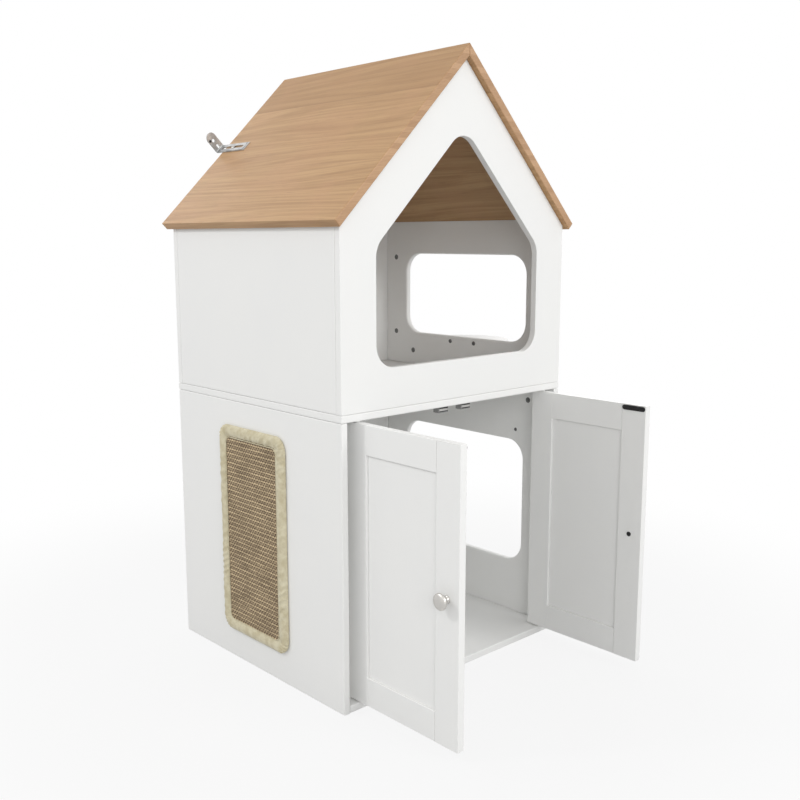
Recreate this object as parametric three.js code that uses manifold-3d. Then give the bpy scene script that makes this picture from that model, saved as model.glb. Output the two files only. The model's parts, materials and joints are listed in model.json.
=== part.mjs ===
// A cat litter box cabinet: a two-door cupboard with a gabled cabin on top, drawn with its doors open.
// Sizes are in millimetres. +X is the cabinet's right, -Y its front and +Z up.
// The origin is on the ground, under the middle of the carcass.

import * as THREE from 'three';
import { mergeVertices } from 'three/addons/utils/BufferGeometryUtils.js';
import Module from 'manifold-3d';

const wasm = await Module();
wasm.setup();

// Carcass
const WIDTH = 600;
const DEPTH = 541;
const BOARD = 14;
const CUPBOARD_HEIGHT = 538; // ground to the underside of the deck
const BACK_INSET = 3.5; // how far the cupboard's back sits in from the rear edges of its sides
const EASE = 2; // rounding of the boards' edges
const SEAM = 0.2; // clearance where two pieces meet

// Cabin and roof
const WALL_HEIGHT = 328; // deck to the roof's underside, on the outer face
const ROOF_PITCH = THREE.MathUtils.degToRad(45);
const ROOF_BOARD = 16;
const SLOPE_LENGTH = 451; // ridge to eave, on the outer face
const FRONT_OVERHANG = 12;
const BACK_OVERHANG = 12.5;

// Windows in the right wall, and the doorway in the front gable
const WINDOW_RADIUS = 43;
const WINDOW_WIDTH = 373;
const CUPBOARD_WINDOW_HEIGHT = 278.5;
const CUPBOARD_SILL = 132; // above the ground
const CABIN_WINDOW_HEIGHT = 189;
const CABIN_SILL = 77; // above the deck
const DOORWAY_WIDTH = 436;
const DOORWAY_RADIUS = 42;
const DOORWAY_SILL = 74; // above the deck
const DOORWAY_MARGIN = 87; // gable left between the doorway and the roof, square to the slope

// Doors: a grooved frame of stiles and rails round a thin panel
const DOOR_BOARD = 15;
const DOOR_END_GAP = 2.5; // above and below the door
const DOOR_SIDE_GAP = 5.75; // side wall to hinge edge
const DOOR_MEETING_GAP = 1.5;
const DOOR_OPEN_ANGLE = THREE.MathUtils.degToRad(90);
const STILE = 54;
const RAIL = 54;
const DOOR_EASE = 1.5;
const DOOR_PANEL = 6;
const GROOVE_DEPTH = 8;
const TONGUE = 7; // how far a panel or a rail's end reaches into a groove

// Pivots
const PIVOT_INSET = 22.5; // hinge edge to pivot axis
const PIN_RADIUS = 3;
const PIN_RUNNING_FIT = 0.2;
const PIN_SET_DEPTH = 9; // into the deck or the floor
const PIN_DOOR_DEPTH = 12; // into the door
const COLLAR_RADIUS = 4.5;
const COLLAR_FIT = 0.2;
const BUSHING_WALL = 1.8;
const BUSHING_DEPTH = 14;

// Knob and its screw
const KNOB_RADIUS = 14.5;
const KNOB_HEAD = 8; // thickness of the head
const KNOB_PROJECTION = 22;
const KNOB_NECK_RADIUS = 4.5;
const KNOB_FOOT_RADIUS = 7;
const KNOB_SCREW_RADIUS = 2;
const KNOB_SCREW_BITE = 9;
const SCREW_CLEARANCE = 0.3;

// Magnetic catches under the deck, and the strike plates on the doors
const CATCH_SPACING = 62;
const CATCH_WIDTH = 26;
const CATCH_DEPTH = 16;
const CATCH_HEIGHT = 14.5;
const CATCH_CLEARANCE = 0.4; // pole plates to strike plate, with the door shut
const POLE_WIDTH = 22.5;
const POLE_PLATE = 1.6;
const POLE_DEPTH = 9;
const POLE_PROUD = 0.6;
const MAGNET_HEIGHT = 4.2;
const STRIKE_LENGTH = 51;
const STRIKE_WIDTH = 9.5;
const STRIKE_PLATE = 1.8;
const STRIKE_DROP = 6.5; // door top to the middle of the strike plate

// Cam locks that hold the boards together
const DRUM_RADIUS = 6;
const DRUM_DEPTH = 10.5;
const DRUM_SLOT = 1.6;
const DRUM_INSET = 33; // end of a board to the middle of the drum
const CAM_BOLT_RADIUS = 3;
const CAM_BOLT_BITE = 9; // into the next board
const WALL_DRUM_LOW = 76; // the walls' front and rear drums, above the deck
const WALL_DRUM_HIGH = 257;
const WALL_DRUM_SPREAD = 163.5; // the walls' lower drums, from the middle of the depth
const CUPBOARD_DRUM_SPREAD = 200; // the cupboard sides' upper drums
const FLOOR_DRUM_SPREAD = 170;
const BACK_DRUM_HIGH = 150; // the back panel's drums, from its top and bottom ends
const GABLE_DRUM_SPREAD = 200; // the gables' lower drums, from the middle of the width
const SLOPE_DRUM_SHARE = 0.5; // the gables' roof drums, along each slope

// Half-round step outside the cabin window
const STEP_RADIUS = 100;
const STEP_BOARD = 14;
const STEP_DROP = 5.5; // step top below the cabin window's sill
const STEP_EASE = 3;
const STEP_BOLT_SPACING = 74;
const STEP_BOLT_RADIUS = 2.5;
const STEP_BOLT_BITE = 40;
const BOLT_HEAD_RADIUS = 4.6;
const BOLT_HEAD = 2.4;
const STEP_ARC_STEPS = 16;

// Scratching pad on the left cupboard side
const PAD_WIDTH = 234;
const PAD_HEIGHT = 438;
const PAD_RADIUS = 30;
const PAD_MIDDLE = 275; // above the ground
const PAD_SEAT = 0.3; // soft pieces keep this clear of what they lie on
const BACKING_BOARD = 2.5;
const MAT_THICKNESS = 3.5;
const BINDING_WIDTH = 27;
const BINDING_CROWN = 10.5;
const BINDING_TURN = 3.5; // width of the binding that wraps the backing's edge
const BINDING_LIP = 7; // height of its inner edge

// Anti-tip bracket on the left roof slope
const BRACKET_WIDTH = 24;
const BRACKET_PLATE = 1.6;
const BRACKET_BEND = 2.5; // inside radius
const BRACKET_REACH = 19.5; // bend's outer face behind the roof's rear edge
const BRACKET_ROOF_ARM = 102;
const BRACKET_WALL_ARM = 43;
const BRACKET_HOLE_RADIUS = 3.5;
const BRACKET_HOLE_HEIGHT = 24.6;
const BRACKET_SLOT_WIDTH = 5;
const BRACKET_SLOT_LENGTH = 9;
const BRACKET_SLOT_HEIGHT = 9.5;
const BRACKET_SCREW_HEIGHT = 28.2; // wall screw, above the roof
const BRACKET_SCREW_SIDE = 7; // wall screw, from the arm's middle towards the eave
const BRACKET_SCREW_REACH = 53; // roof screw, from the bend
const BRACKET_SCREW_RADIUS = 1.8;
const BRACKET_RIB_WIDTH = 3; // stiffening ribs along both sides of the arms
const BRACKET_RIB_HEIGHT = 0.9;
const BRACKET_RIB_INSET = 1.2;
const BRACKET_RIB_END = 7; // end of the roof arm left without ribs
const BRACKET_RIB_RISE = 20; // how far the ribs run up the wall arm
const ADJUSTING_SLOT_WIDTH = 6.5;
const ADJUSTING_SLOT_LENGTH = 50;
const ADJUSTING_SLOT_START = 12; // from the bend
const ROOF_SCREW_HEAD_RADIUS = 4.6; // wide enough to bear on both sides of the adjusting slot
const ROOF_SCREW_BITE = 12;
const WALL_SCREW_LENGTH = 12;
const SCREW_HEAD_RADIUS = 3.8;
const SCREW_HEAD = 2.2;

// Screw in the right cupboard wall
const WALL_SCREW_ABOVE_WINDOW = 24.5;
const WALL_SCREW_BEHIND_EDGE = 20; // from the window's front edge
const WALL_SCREW_BITE = 10;

const ARC_STEPS = 4;
const ROUND_SIDES = 16;
const SMALL_SIDES = 12;
const TINY_SIDES = 8;

// Places that follow from the sizes
const HALF_WIDTH = WIDTH / 2;
const FRONT = -DEPTH / 2;
const BACK = DEPTH / 2;
const INNER_X = HALF_WIDTH - BOARD;
const DECK_TOP = CUPBOARD_HEIGHT + BOARD;
const EAVE_Z = DECK_TOP + WALL_HEIGHT;
const RIDGE_UNDERSIDE = EAVE_Z + HALF_WIDTH * Math.tan(ROOF_PITCH);
const RIDGE_Z = RIDGE_UNDERSIDE + ROOF_BOARD / Math.cos(ROOF_PITCH);
const DOOR_BOTTOM = BOARD + DOOR_END_GAP;
const DOOR_TOP = CUPBOARD_HEIGHT - DOOR_END_GAP;
const DOOR_HEIGHT = DOOR_TOP - DOOR_BOTTOM;
const PIVOT_X = INNER_X - DOOR_SIDE_GAP - PIVOT_INSET;
const PIVOT_Y = FRONT + DOOR_BOARD / 2;
const DOOR_REACH = PIVOT_X - DOOR_MEETING_GAP / 2; // pivot axis to free edge
const DOOR_WIDTH = PIVOT_INSET + DOOR_REACH;
const WINDOW_FRONT = -WINDOW_WIDTH / 2;

const FINISHES = {
  lacquer: { color: 0xf3f3f1, roughness: 0.42, metalness: 0 },
  oak: { color: 0xc4a27e, roughness: 0.5, metalness: 0 },
  sisal: { color: 0x9a8265, roughness: 0.95, metalness: 0 },
  backing: { color: 0x8d7a62, roughness: 0.9, metalness: 0 },
  suede: { color: 0xcdc5a2, roughness: 0.9, metalness: 0 },
  whitePlastic: { color: 0xefefec, roughness: 0.45, metalness: 0 },
  greyPlastic: { color: 0x8a8a88, roughness: 0.5, metalness: 0 },
  nickel: { color: 0xb9b7b2, roughness: 0.28, metalness: 1 },
  zinc: { color: 0xb5b4b0, roughness: 0.35, metalness: 1 },
  blackSteel: { color: 0x2b2b2c, roughness: 0.4, metalness: 0.8 },
  magnet: { color: 0x3a3836, roughness: 0.7, metalness: 0 },
};

// ---- solids ----

// One closed geometry with shared corners and no collapsed triangles
function weld(geometry) {
  const bare = geometry.clone();
  bare.deleteAttribute('normal');
  bare.deleteAttribute('uv');
  const merged = mergeVertices(bare, 1e-4);
  const corners = Array.from(merged.index.array);
  const kept = [];
  for (let i = 0; i < corners.length; i += 3) {
    const [a, b, c] = corners.slice(i, i + 3);
    if (a !== b && b !== c && c !== a) kept.push(a, b, c);
  }
  merged.setIndex(kept);
  merged.computeVertexNormals();
  return merged;
}

function toManifold(geometry) {
  const welded = weld(geometry);
  return new wasm.Manifold(new wasm.Mesh({
    numProp: 3,
    vertProperties: new Float32Array(welded.attributes.position.array),
    triVerts: new Uint32Array(welded.index.array),
  }));
}

function fromManifold(manifold) {
  const mesh = manifold.getMesh();
  const geometry = new THREE.BufferGeometry();
  geometry.setAttribute('position', new THREE.BufferAttribute(new Float32Array(mesh.vertProperties), 3));
  geometry.setIndex(Array.from(mesh.triVerts));
  geometry.computeVertexNormals();
  return geometry;
}

function cut(geometry, ...cutters) {
  const left = cutters.reduce((rest, cutter) => rest.subtract(toManifold(cutter)), toManifold(geometry));
  return fromManifold(left);
}

function join(geometry, ...others) {
  const all = others.reduce((sum, other) => sum.add(toManifold(other)), toManifold(geometry));
  return fromManifold(all);
}

function keepInside(geometry, ...limits) {
  const left = limits.reduce((rest, limit) => rest.intersect(toManifold(limit)), toManifold(geometry));
  return fromManifold(left);
}

// ---- outlines and basic forms ----

// A closed outline through corners [x, y, radius], each rounded by an arc of its own radius
function roundedOutline(corners, Kind = THREE.Shape) {
  const outline = new Kind();
  corners.forEach(([x, y, radius = 0], i) => {
    const corner = new THREE.Vector2(x, y);
    if (radius === 0) {
      if (i === 0) outline.moveTo(x, y);
      else outline.lineTo(x, y);
      return;
    }
    const before = corners[(i + corners.length - 1) % corners.length];
    const after = corners[(i + 1) % corners.length];
    const toBefore = new THREE.Vector2(before[0], before[1]).sub(corner).normalize();
    const toAfter = new THREE.Vector2(after[0], after[1]).sub(corner).normalize();
    const half = Math.acos(THREE.MathUtils.clamp(toBefore.dot(toAfter), -1, 1)) / 2;
    const middle = toBefore.clone().add(toAfter).normalize().multiplyScalar(radius / Math.sin(half));
    const centre = corner.clone().add(middle);
    const start = corner.clone().addScaledVector(toBefore, radius / Math.tan(half)).sub(centre);
    const end = corner.clone().addScaledVector(toAfter, radius / Math.tan(half)).sub(centre);
    const clockwise = toBefore.cross(toAfter) > 0;
    outline.absarc(centre.x, centre.y, radius, start.angle(), end.angle(), clockwise);
  });
  outline.closePath();
  return outline;
}

function rectangle(x0, y0, x1, y1, radius = 0, Kind = THREE.Shape) {
  const corners = [[x0, y0, radius], [x1, y0, radius], [x1, y1, radius], [x0, y1, radius]];
  return roundedOutline(corners, Kind);
}

// An outline drawn out along +Z from z = 0, with its long edges eased
function slab(outline, thickness, ease = 0, arcSteps = ARC_STEPS) {
  const geometry = new THREE.ExtrudeGeometry(outline, {
    depth: thickness - 2 * ease,
    bevelEnabled: ease > 0,
    bevelThickness: ease,
    bevelSize: ease,
    bevelOffset: -ease,
    bevelSegments: 2,
    curveSegments: arcSteps,
  });
  return geometry.translate(0, 0, ease);
}

// Turns a slab drawn in X-Y so that its outline lies in X-Z and its thickness runs towards -Y
function standFacingY(geometry) {
  return geometry.applyMatrix4(new THREE.Matrix4().set(1, 0, 0, 0, 0, 0, -1, 0, 0, 1, 0, 0, 0, 0, 0, 1));
}

// Turns a slab so that its outline lies in Y-Z and its thickness runs towards +X
function standFacingX(geometry) {
  return geometry.applyMatrix4(new THREE.Matrix4().set(0, 0, 1, 0, 1, 0, 0, 0, 0, 1, 0, 0, 0, 0, 0, 1));
}

function block(x0, x1, y0, y1, z0, z1) {
  const geometry = new THREE.BoxGeometry(x1 - x0, y1 - y0, z1 - z0);
  return geometry.translate((x0 + x1) / 2, (y0 + y1) / 2, (z0 + z1) / 2);
}

// A round bar along +Z from z0 to z1
function bar(radius, z0, z1, sides = SMALL_SIDES) {
  const geometry = new THREE.CylinderGeometry(radius, radius, z1 - z0, sides);
  return geometry.rotateX(Math.PI / 2).translate(0, 0, (z0 + z1) / 2);
}

// A profile of [radius, height] points, from the lowest on the axis to the highest, turned round +Z
function turned(profile, sides = ROUND_SIDES) {
  const points = profile.map(([radius, height]) => new THREE.Vector2(radius, height));
  return new THREE.LatheGeometry(points, sides).rotateX(Math.PI / 2);
}

function pointAlongX(geometry) {
  return geometry.rotateY(Math.PI / 2);
}

function pointAlongY(geometry) {
  return geometry.rotateX(-Math.PI / 2);
}

const cabinet = new THREE.Group();

function addPiece(parent, name, geometry, finish, x = 0, y = 0, z = 0) {
  const mesh = new THREE.Mesh(weld(geometry), new THREE.MeshStandardMaterial(FINISHES[finish]));
  mesh.name = name;
  mesh.position.set(x, y, z);
  parent.add(mesh);
  return mesh;
}

// ---- boards ----

// A board keeps its bores and the fastenings set fast in it until it is added to the cabinet
class Board {
  constructor(name, geometry, finish, x, y, z) {
    Object.assign(this, { name, geometry, finish, x, y, z, bores: [], fastenings: [] });
  }

  drill(bore) {
    this.bores.push(bore.clone().translate(-this.x, -this.y, -this.z));
  }

  setIn(fastening) {
    this.fastenings.push(fastening.clone().translate(-this.x, -this.y, -this.z));
  }

  addTo(parent) {
    const fitted = join(cut(this.geometry, ...this.bores), ...this.fastenings);
    return addPiece(parent, this.name, fitted, this.finish, this.x, this.y, this.z);
  }
}

function cupboardSide(name, x, window) {
  const outline = rectangle(FRONT, 0, BACK, CUPBOARD_HEIGHT - SEAM);
  if (window) outline.holes.push(window);
  return new Board(name, standFacingX(slab(outline, BOARD, EASE)), 'lacquer', x, 0, 0);
}

function wallWindow(sill, height) {
  return rectangle(WINDOW_FRONT, sill, -WINDOW_FRONT, sill + height, WINDOW_RADIUS, THREE.Path);
}

function floorPanel() {
  const reach = INNER_X - SEAM;
  const outline = rectangle(-reach, FRONT, reach, BACK - BACK_INSET - BOARD - SEAM);
  return new Board('floor_panel', slab(outline, BOARD, EASE), 'lacquer', 0, 0, 0);
}

function cupboardBack() {
  const reach = INNER_X - SEAM;
  const outline = rectangle(-reach, 0, reach, CUPBOARD_HEIGHT - SEAM);
  const geometry = standFacingY(slab(outline, BOARD, EASE));
  return new Board('cupboard_back_panel', geometry, 'lacquer', 0, BACK - BACK_INSET, 0);
}

function deckPanel() {
  const outline = rectangle(-HALF_WIDTH, FRONT, HALF_WIDTH, BACK);
  return new Board('deck_panel', slab(outline, BOARD, EASE), 'lacquer', 0, 0, CUPBOARD_HEIGHT);
}

// Gable outline, from the deck up to just under the roof
function gableOutline() {
  const drop = SEAM / Math.cos(ROOF_PITCH);
  return roundedOutline([
    [-HALF_WIDTH, SEAM],
    [HALF_WIDTH, SEAM],
    [HALF_WIDTH, WALL_HEIGHT - drop],
    [0, RIDGE_UNDERSIDE - DECK_TOP - drop],
    [-HALF_WIDTH, WALL_HEIGHT - drop],
  ]);
}

// House-shaped doorway whose top runs parallel to the roof
function doorway() {
  const half = DOORWAY_WIDTH / 2;
  const peak = RIDGE_UNDERSIDE - DECK_TOP - DOORWAY_MARGIN / Math.cos(ROOF_PITCH);
  const shoulder = peak - half * Math.tan(ROOF_PITCH);
  return roundedOutline([
    [-half, DOORWAY_SILL, DOORWAY_RADIUS],
    [half, DOORWAY_SILL, DOORWAY_RADIUS],
    [half, shoulder, DOORWAY_RADIUS],
    [0, peak, DOORWAY_RADIUS],
    [-half, shoulder, DOORWAY_RADIUS],
  ], THREE.Path);
}

function gable(name, rearFace, opening) {
  const outline = gableOutline();
  if (opening) outline.holes.push(opening);
  return new Board(name, standFacingY(slab(outline, BOARD, EASE)), 'lacquer', 0, rearFace, DECK_TOP);
}

// Cabin wall between the gables, its top cut to the pitch of the roof
function cabinWall(name, side, window) {
  const reach = BACK - BOARD - SEAM;
  const top = WALL_HEIGHT + BOARD * Math.tan(ROOF_PITCH);
  const outline = rectangle(-reach, SEAM, reach, top);
  if (window) outline.holes.push(window);
  const wall = standFacingX(slab(outline, BOARD, EASE));
  const drop = SEAM / Math.cos(ROOF_PITCH);
  const outer = side > 0 ? BOARD : 0;
  const slope = -side * Math.tan(ROOF_PITCH);
  const under = (x) => WALL_HEIGHT - drop + (x - outer) * slope;
  const past = 2 * BOARD;
  const above = roundedOutline([
    [-past, under(-past)],
    [past, under(past)],
    [past, top + past + BOARD],
    [-past, top + past + BOARD],
  ]);
  const roofSpace = standFacingY(slab(above, DEPTH)).translate(0, BACK, 0);
  const x = side > 0 ? INNER_X : -HALF_WIDTH;
  return new Board(name, cut(wall, roofSpace), 'lacquer', x, 0, DECK_TOP);
}

// Roof board: mitred at the ridge and cut square at the eave
function roofBoard(name, side) {
  const cos = Math.cos(ROOF_PITCH);
  const sin = Math.sin(ROOF_PITCH);
  const ridge = SEAM / 2;
  const across = ridge * Math.tan(ROOF_PITCH);
  const corners = [
    [ridge, RIDGE_Z - across],
    [ridge, RIDGE_UNDERSIDE - across],
    [SLOPE_LENGTH * cos - ROOF_BOARD * sin, RIDGE_Z - SLOPE_LENGTH * sin - ROOF_BOARD * cos],
    [SLOPE_LENGTH * cos, RIDGE_Z - SLOPE_LENGTH * sin],
  ];
  const outline = roundedOutline(corners.map(([x, z]) => [side * x, z]));
  const length = DEPTH + FRONT_OVERHANG + BACK_OVERHANG;
  return new Board(name, standFacingY(slab(outline, length, EASE)), 'oak', 0, BACK + BACK_OVERHANG, 0);
}

const boards = {
  leftSide: cupboardSide('left_cupboard_side', -HALF_WIDTH),
  rightSide: cupboardSide('right_cupboard_side', INNER_X, wallWindow(CUPBOARD_SILL, CUPBOARD_WINDOW_HEIGHT)),
  back: cupboardBack(),
  floor: floorPanel(),
  deck: deckPanel(),
  frontGable: gable('front_gable', FRONT + BOARD, doorway()),
  backGable: gable('back_gable', BACK),
  leftWall: cabinWall('left_cabin_wall', -1),
  rightWall: cabinWall('right_cabin_wall', 1, wallWindow(CABIN_SILL, CABIN_WINDOW_HEIGHT)),
  leftRoof: roofBoard('left_roof_board', -1),
  rightRoof: roofBoard('right_roof_board', 1),
};

// ---- cam locks ----

// A drum let into a board's inner face, and the bolt that it pulls, which runs into the next board.
// Drawn with the drum's axis along +Z, the board's face at z = 0 and the bolt pointing along +X.
const drumBore = bar(DRUM_RADIUS + SCREW_CLEARANCE, -DRUM_DEPTH, 1);
const boltLength = DRUM_INSET + CAM_BOLT_BITE;

function camBolt(radius, length) {
  return pointAlongX(bar(radius, 0, length, TINY_SIDES)).translate(0, 0, -BOARD / 2);
}

const camBoltBore = camBolt(CAM_BOLT_RADIUS + SCREW_CLEARANCE, boltLength + SCREW_CLEARANCE);

// The drum's bottom goes past the bore's bottom by the length of its foot
function camDrum(foot) {
  const reach = DRUM_RADIUS * 0.7;
  const slot = block(-reach, reach, -DRUM_SLOT / 2, DRUM_SLOT / 2, -DRUM_SLOT, 1);
  return cut(bar(DRUM_RADIUS, -DRUM_DEPTH - foot, -SEAM), slot);
}

// centre lies on the board's face, face is that face's outward normal, and pull points to the next board
function camPlace(centre, face, pull) {
  return new THREE.Matrix4().makeBasis(pull, face.clone().cross(pull), face).setPosition(centre);
}

// Cam lock as a piece of its own, in clearance bores
function looseCamLock(name, board, next, centre, face, pull) {
  const place = camPlace(centre, face, pull);
  const boltBore = camBoltBore.clone().applyMatrix4(place);
  board.drill(drumBore.clone().applyMatrix4(place));
  board.drill(boltBore);
  next.drill(boltBore);
  const lock = join(camDrum(-SCREW_CLEARANCE), camBolt(CAM_BOLT_RADIUS, boltLength));
  addPiece(cabinet, name, lock.applyMatrix4(place), 'zinc');
}

// Cam lock set fast in its board
function fixedCamLock(board, next, centre, face, pull) {
  const place = camPlace(centre, face, pull);
  const past = CAM_BOLT_BITE + DRUM_INSET / 4;
  const boltEnd = camBolt(CAM_BOLT_RADIUS, past).translate(boltLength - past, 0, 0);
  board.drill(drumBore.clone().applyMatrix4(place));
  board.setIn(camDrum(SCREW_CLEARANCE).applyMatrix4(place));
  board.setIn(boltEnd.applyMatrix4(place));
  next.drill(camBoltBore.clone().applyMatrix4(place));
}

const vector = (x, y, z) => new THREE.Vector3(x, y, z);
const UP = vector(0, 0, 1);
const DOWN = vector(0, 0, -1);
const FORWARD = vector(0, -1, 0);
const REARWARD = vector(0, 1, 0);

// Calls lock for each place of a cabin wall's six cam locks, with the board that it pulls
function eachWallCam(side, lock) {
  const x = side * INNER_X;
  const end = BACK - BOARD - DRUM_INSET;
  for (const [level, height] of [['low', WALL_DRUM_LOW], ['high', WALL_DRUM_HIGH]]) {
    lock(`front_${level}`, boards.frontGable, vector(x, -end, DECK_TOP + height), FORWARD);
    lock(`rear_${level}`, boards.backGable, vector(x, end, DECK_TOP + height), REARWARD);
  }
  lock('deck_front', boards.deck, vector(x, -WALL_DRUM_SPREAD, DECK_TOP + DRUM_INSET), DOWN);
  lock('deck_rear', boards.deck, vector(x, WALL_DRUM_SPREAD, DECK_TOP + DRUM_INSET), DOWN);
}

function addWallCams() {
  eachWallCam(-1, (place, next, centre, pull) => {
    fixedCamLock(boards.leftWall, next, centre, vector(1, 0, 0), pull);
  });
  eachWallCam(1, (place, next, centre, pull) => {
    looseCamLock(`cam_lock_${place}`, boards.rightWall, next, centre, vector(-1, 0, 0), pull);
  });
}

function fitCupboardSideCams(board, side) {
  for (const y of [-CUPBOARD_DRUM_SPREAD, CUPBOARD_DRUM_SPREAD]) {
    const centre = vector(side * INNER_X, y, CUPBOARD_HEIGHT - DRUM_INSET);
    fixedCamLock(board, boards.deck, centre, vector(-side, 0, 0), UP);
  }
}

// Cam locks at both ends of a board that runs from side to side
function fitCrossCams(board, y, z, face) {
  for (const side of [-1, 1]) {
    const next = side > 0 ? boards.rightSide : boards.leftSide;
    fixedCamLock(board, next, vector(side * (INNER_X - DRUM_INSET), y, z), face, vector(side, 0, 0));
  }
}

function fitGableCams(board, y, face) {
  for (const side of [-1, 1]) {
    const low = vector(side * GABLE_DRUM_SPREAD, y, DECK_TOP + DRUM_INSET);
    fixedCamLock(board, boards.deck, low, face, DOWN);
    const roof = side > 0 ? boards.rightRoof : boards.leftRoof;
    const pull = vector(side * Math.sin(ROOF_PITCH), 0, Math.cos(ROOF_PITCH));
    const x = side * HALF_WIDTH * SLOPE_DRUM_SHARE;
    const seat = vector(x, y, RIDGE_UNDERSIDE - Math.abs(x) * Math.tan(ROOF_PITCH));
    fixedCamLock(board, roof, seat.addScaledVector(pull, -DRUM_INSET), face, pull);
  }
}

function addCamLocks() {
  addWallCams();
  fitCupboardSideCams(boards.leftSide, -1);
  fitCupboardSideCams(boards.rightSide, 1);
  for (const y of [-FLOOR_DRUM_SPREAD, FLOOR_DRUM_SPREAD]) fitCrossCams(boards.floor, y, 0, DOWN);
  for (const z of [BACK_DRUM_HIGH, CUPBOARD_HEIGHT - BACK_DRUM_HIGH]) {
    fitCrossCams(boards.back, BACK - BACK_INSET, z, REARWARD);
  }
  fitGableCams(boards.frontGable, FRONT + BOARD, REARWARD);
  fitGableCams(boards.backGable, BACK - BOARD, FORWARD);
}

// ---- doors ----

// Section of a frame member from its outer edge at x = 0 to its grooved edge at x = width
function grooveSection(width) {
  const half = DOOR_BOARD / 2;
  const groove = DOOR_PANEL / 2 + SEAM;
  return roundedOutline([
    [0, -half, DOOR_EASE],
    [width, -half, DOOR_EASE],
    [width, -groove],
    [width - GROOVE_DEPTH, -groove],
    [width - GROOVE_DEPTH, groove],
    [width, groove],
    [width, half, DOOR_EASE],
    [0, half, DOOR_EASE],
  ]);
}

// Stile standing on z = 0
function stile() {
  return slab(grooveSection(STILE), DOOR_HEIGHT, DOOR_EASE / 2, 1);
}

// Rail along X, centred, with its outer edge at z = 0, its groove on top and a tongue at each end
function rail() {
  const length = DOOR_WIDTH - 2 * STILE - 2 * SEAM;
  const body = standFacingX(slab(grooveSection(RAIL), length)).translate(-length / 2, 0, 0);
  body.rotateX(Math.PI / 2);
  const reach = DOOR_WIDTH / 2 - STILE + TONGUE;
  const half = DOOR_PANEL / 2;
  const tongues = block(-reach, reach, -half, half, DOOR_EASE, RAIL - GROOVE_DEPTH);
  return join(body, tongues);
}

function bushingBore(z0, z1) {
  return bar(PIN_RADIUS + PIN_RUNNING_FIT + BUSHING_WALL + SEAM, z0, z1);
}

// Hinge stile, bored at both ends for the pivot bushings
function addHingeStile(door, prefix, side) {
  const bottom = bushingBore(-1, BUSHING_DEPTH + SEAM).translate(PIVOT_INSET, 0, 0);
  const top = bushingBore(DOOR_HEIGHT - BUSHING_DEPTH - SEAM, DOOR_HEIGHT + 1).translate(PIVOT_INSET, 0, 0);
  const geometry = cut(stile(), bottom, top);
  const edge = -side * PIVOT_INSET;
  const mesh = addPiece(door, `${prefix}_hinge_stile`, geometry, 'lacquer', edge, 0, DOOR_BOTTOM);
  mesh.rotation.z = side > 0 ? 0 : Math.PI;
}

function addFreeStile(door, prefix, side) {
  const hole = bar(KNOB_SCREW_RADIUS + SCREW_CLEARANCE, -DOOR_BOARD, DOOR_BOARD, TINY_SIDES);
  const geometry = cut(stile(), pointAlongY(hole).translate(STILE / 2, 0, DOOR_HEIGHT / 2));
  const mesh = addPiece(door, `${prefix}_free_stile`, geometry, 'lacquer', side * DOOR_REACH, 0, DOOR_BOTTOM);
  mesh.rotation.z = side > 0 ? Math.PI : 0;
}

function addDoorPanel(door, prefix, middle) {
  const width = DOOR_WIDTH - 2 * STILE + 2 * TONGUE;
  const height = DOOR_HEIGHT - 2 * RAIL + 2 * TONGUE;
  const outline = rectangle(-width / 2, -height / 2, width / 2, height / 2);
  const geometry = standFacingY(slab(outline, DOOR_PANEL)).translate(0, DOOR_PANEL / 2, 0);
  addPiece(door, `${prefix}_panel`, geometry, 'lacquer', middle, 0, DOOR_BOTTOM + DOOR_HEIGHT / 2);
}

function bushing() {
  const inner = PIN_RADIUS + PIN_RUNNING_FIT;
  const outer = inner + BUSHING_WALL;
  const profile = [[inner, 0], [outer, 0], [outer, BUSHING_DEPTH], [inner, BUSHING_DEPTH], [inner, 0]];
  return turned(profile);
}

function addBushings(door, prefix) {
  addPiece(door, `${prefix}_bottom_bushing`, bushing(), 'whitePlastic', 0, 0, DOOR_BOTTOM);
  addPiece(door, `${prefix}_top_bushing`, bushing(), 'whitePlastic', 0, 0, DOOR_TOP - BUSHING_DEPTH);
}

// Mushroom knob turned round +Z, with its screw hole in the foot
function knobForm() {
  const hole = KNOB_SCREW_RADIUS + SCREW_CLEARANCE;
  const headStart = KNOB_PROJECTION - KNOB_HEAD;
  const dome = [];
  for (let i = 0; i <= 5; i += 1) {
    const turn = (i / 5) * (Math.PI / 2);
    const rim = KNOB_HEAD * 0.35;
    dome.push([KNOB_RADIUS * Math.cos(turn), headStart + rim + (KNOB_HEAD - rim) * Math.sin(turn)]);
  }
  dome[dome.length - 1][0] = 0;
  return turned([
    [0, KNOB_SCREW_BITE + SCREW_CLEARANCE],
    [hole, KNOB_SCREW_BITE + SCREW_CLEARANCE],
    [hole, 0],
    [KNOB_FOOT_RADIUS, 0],
    [KNOB_FOOT_RADIUS, 1.5],
    [KNOB_NECK_RADIUS, 4],
    [KNOB_NECK_RADIUS, headStart - 3],
    [KNOB_RADIUS - 1.5, headStart],
    ...dome,
  ]);
}

function screwForm(headRadius, head, radius, length) {
  return turned([
    [0, -length],
    [radius, -length + radius],
    [radius, 0],
    [headRadius, 0],
    [headRadius * 0.85, head * 0.75],
    [headRadius * 0.45, head],
    [0, head],
  ], SMALL_SIDES);
}

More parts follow.
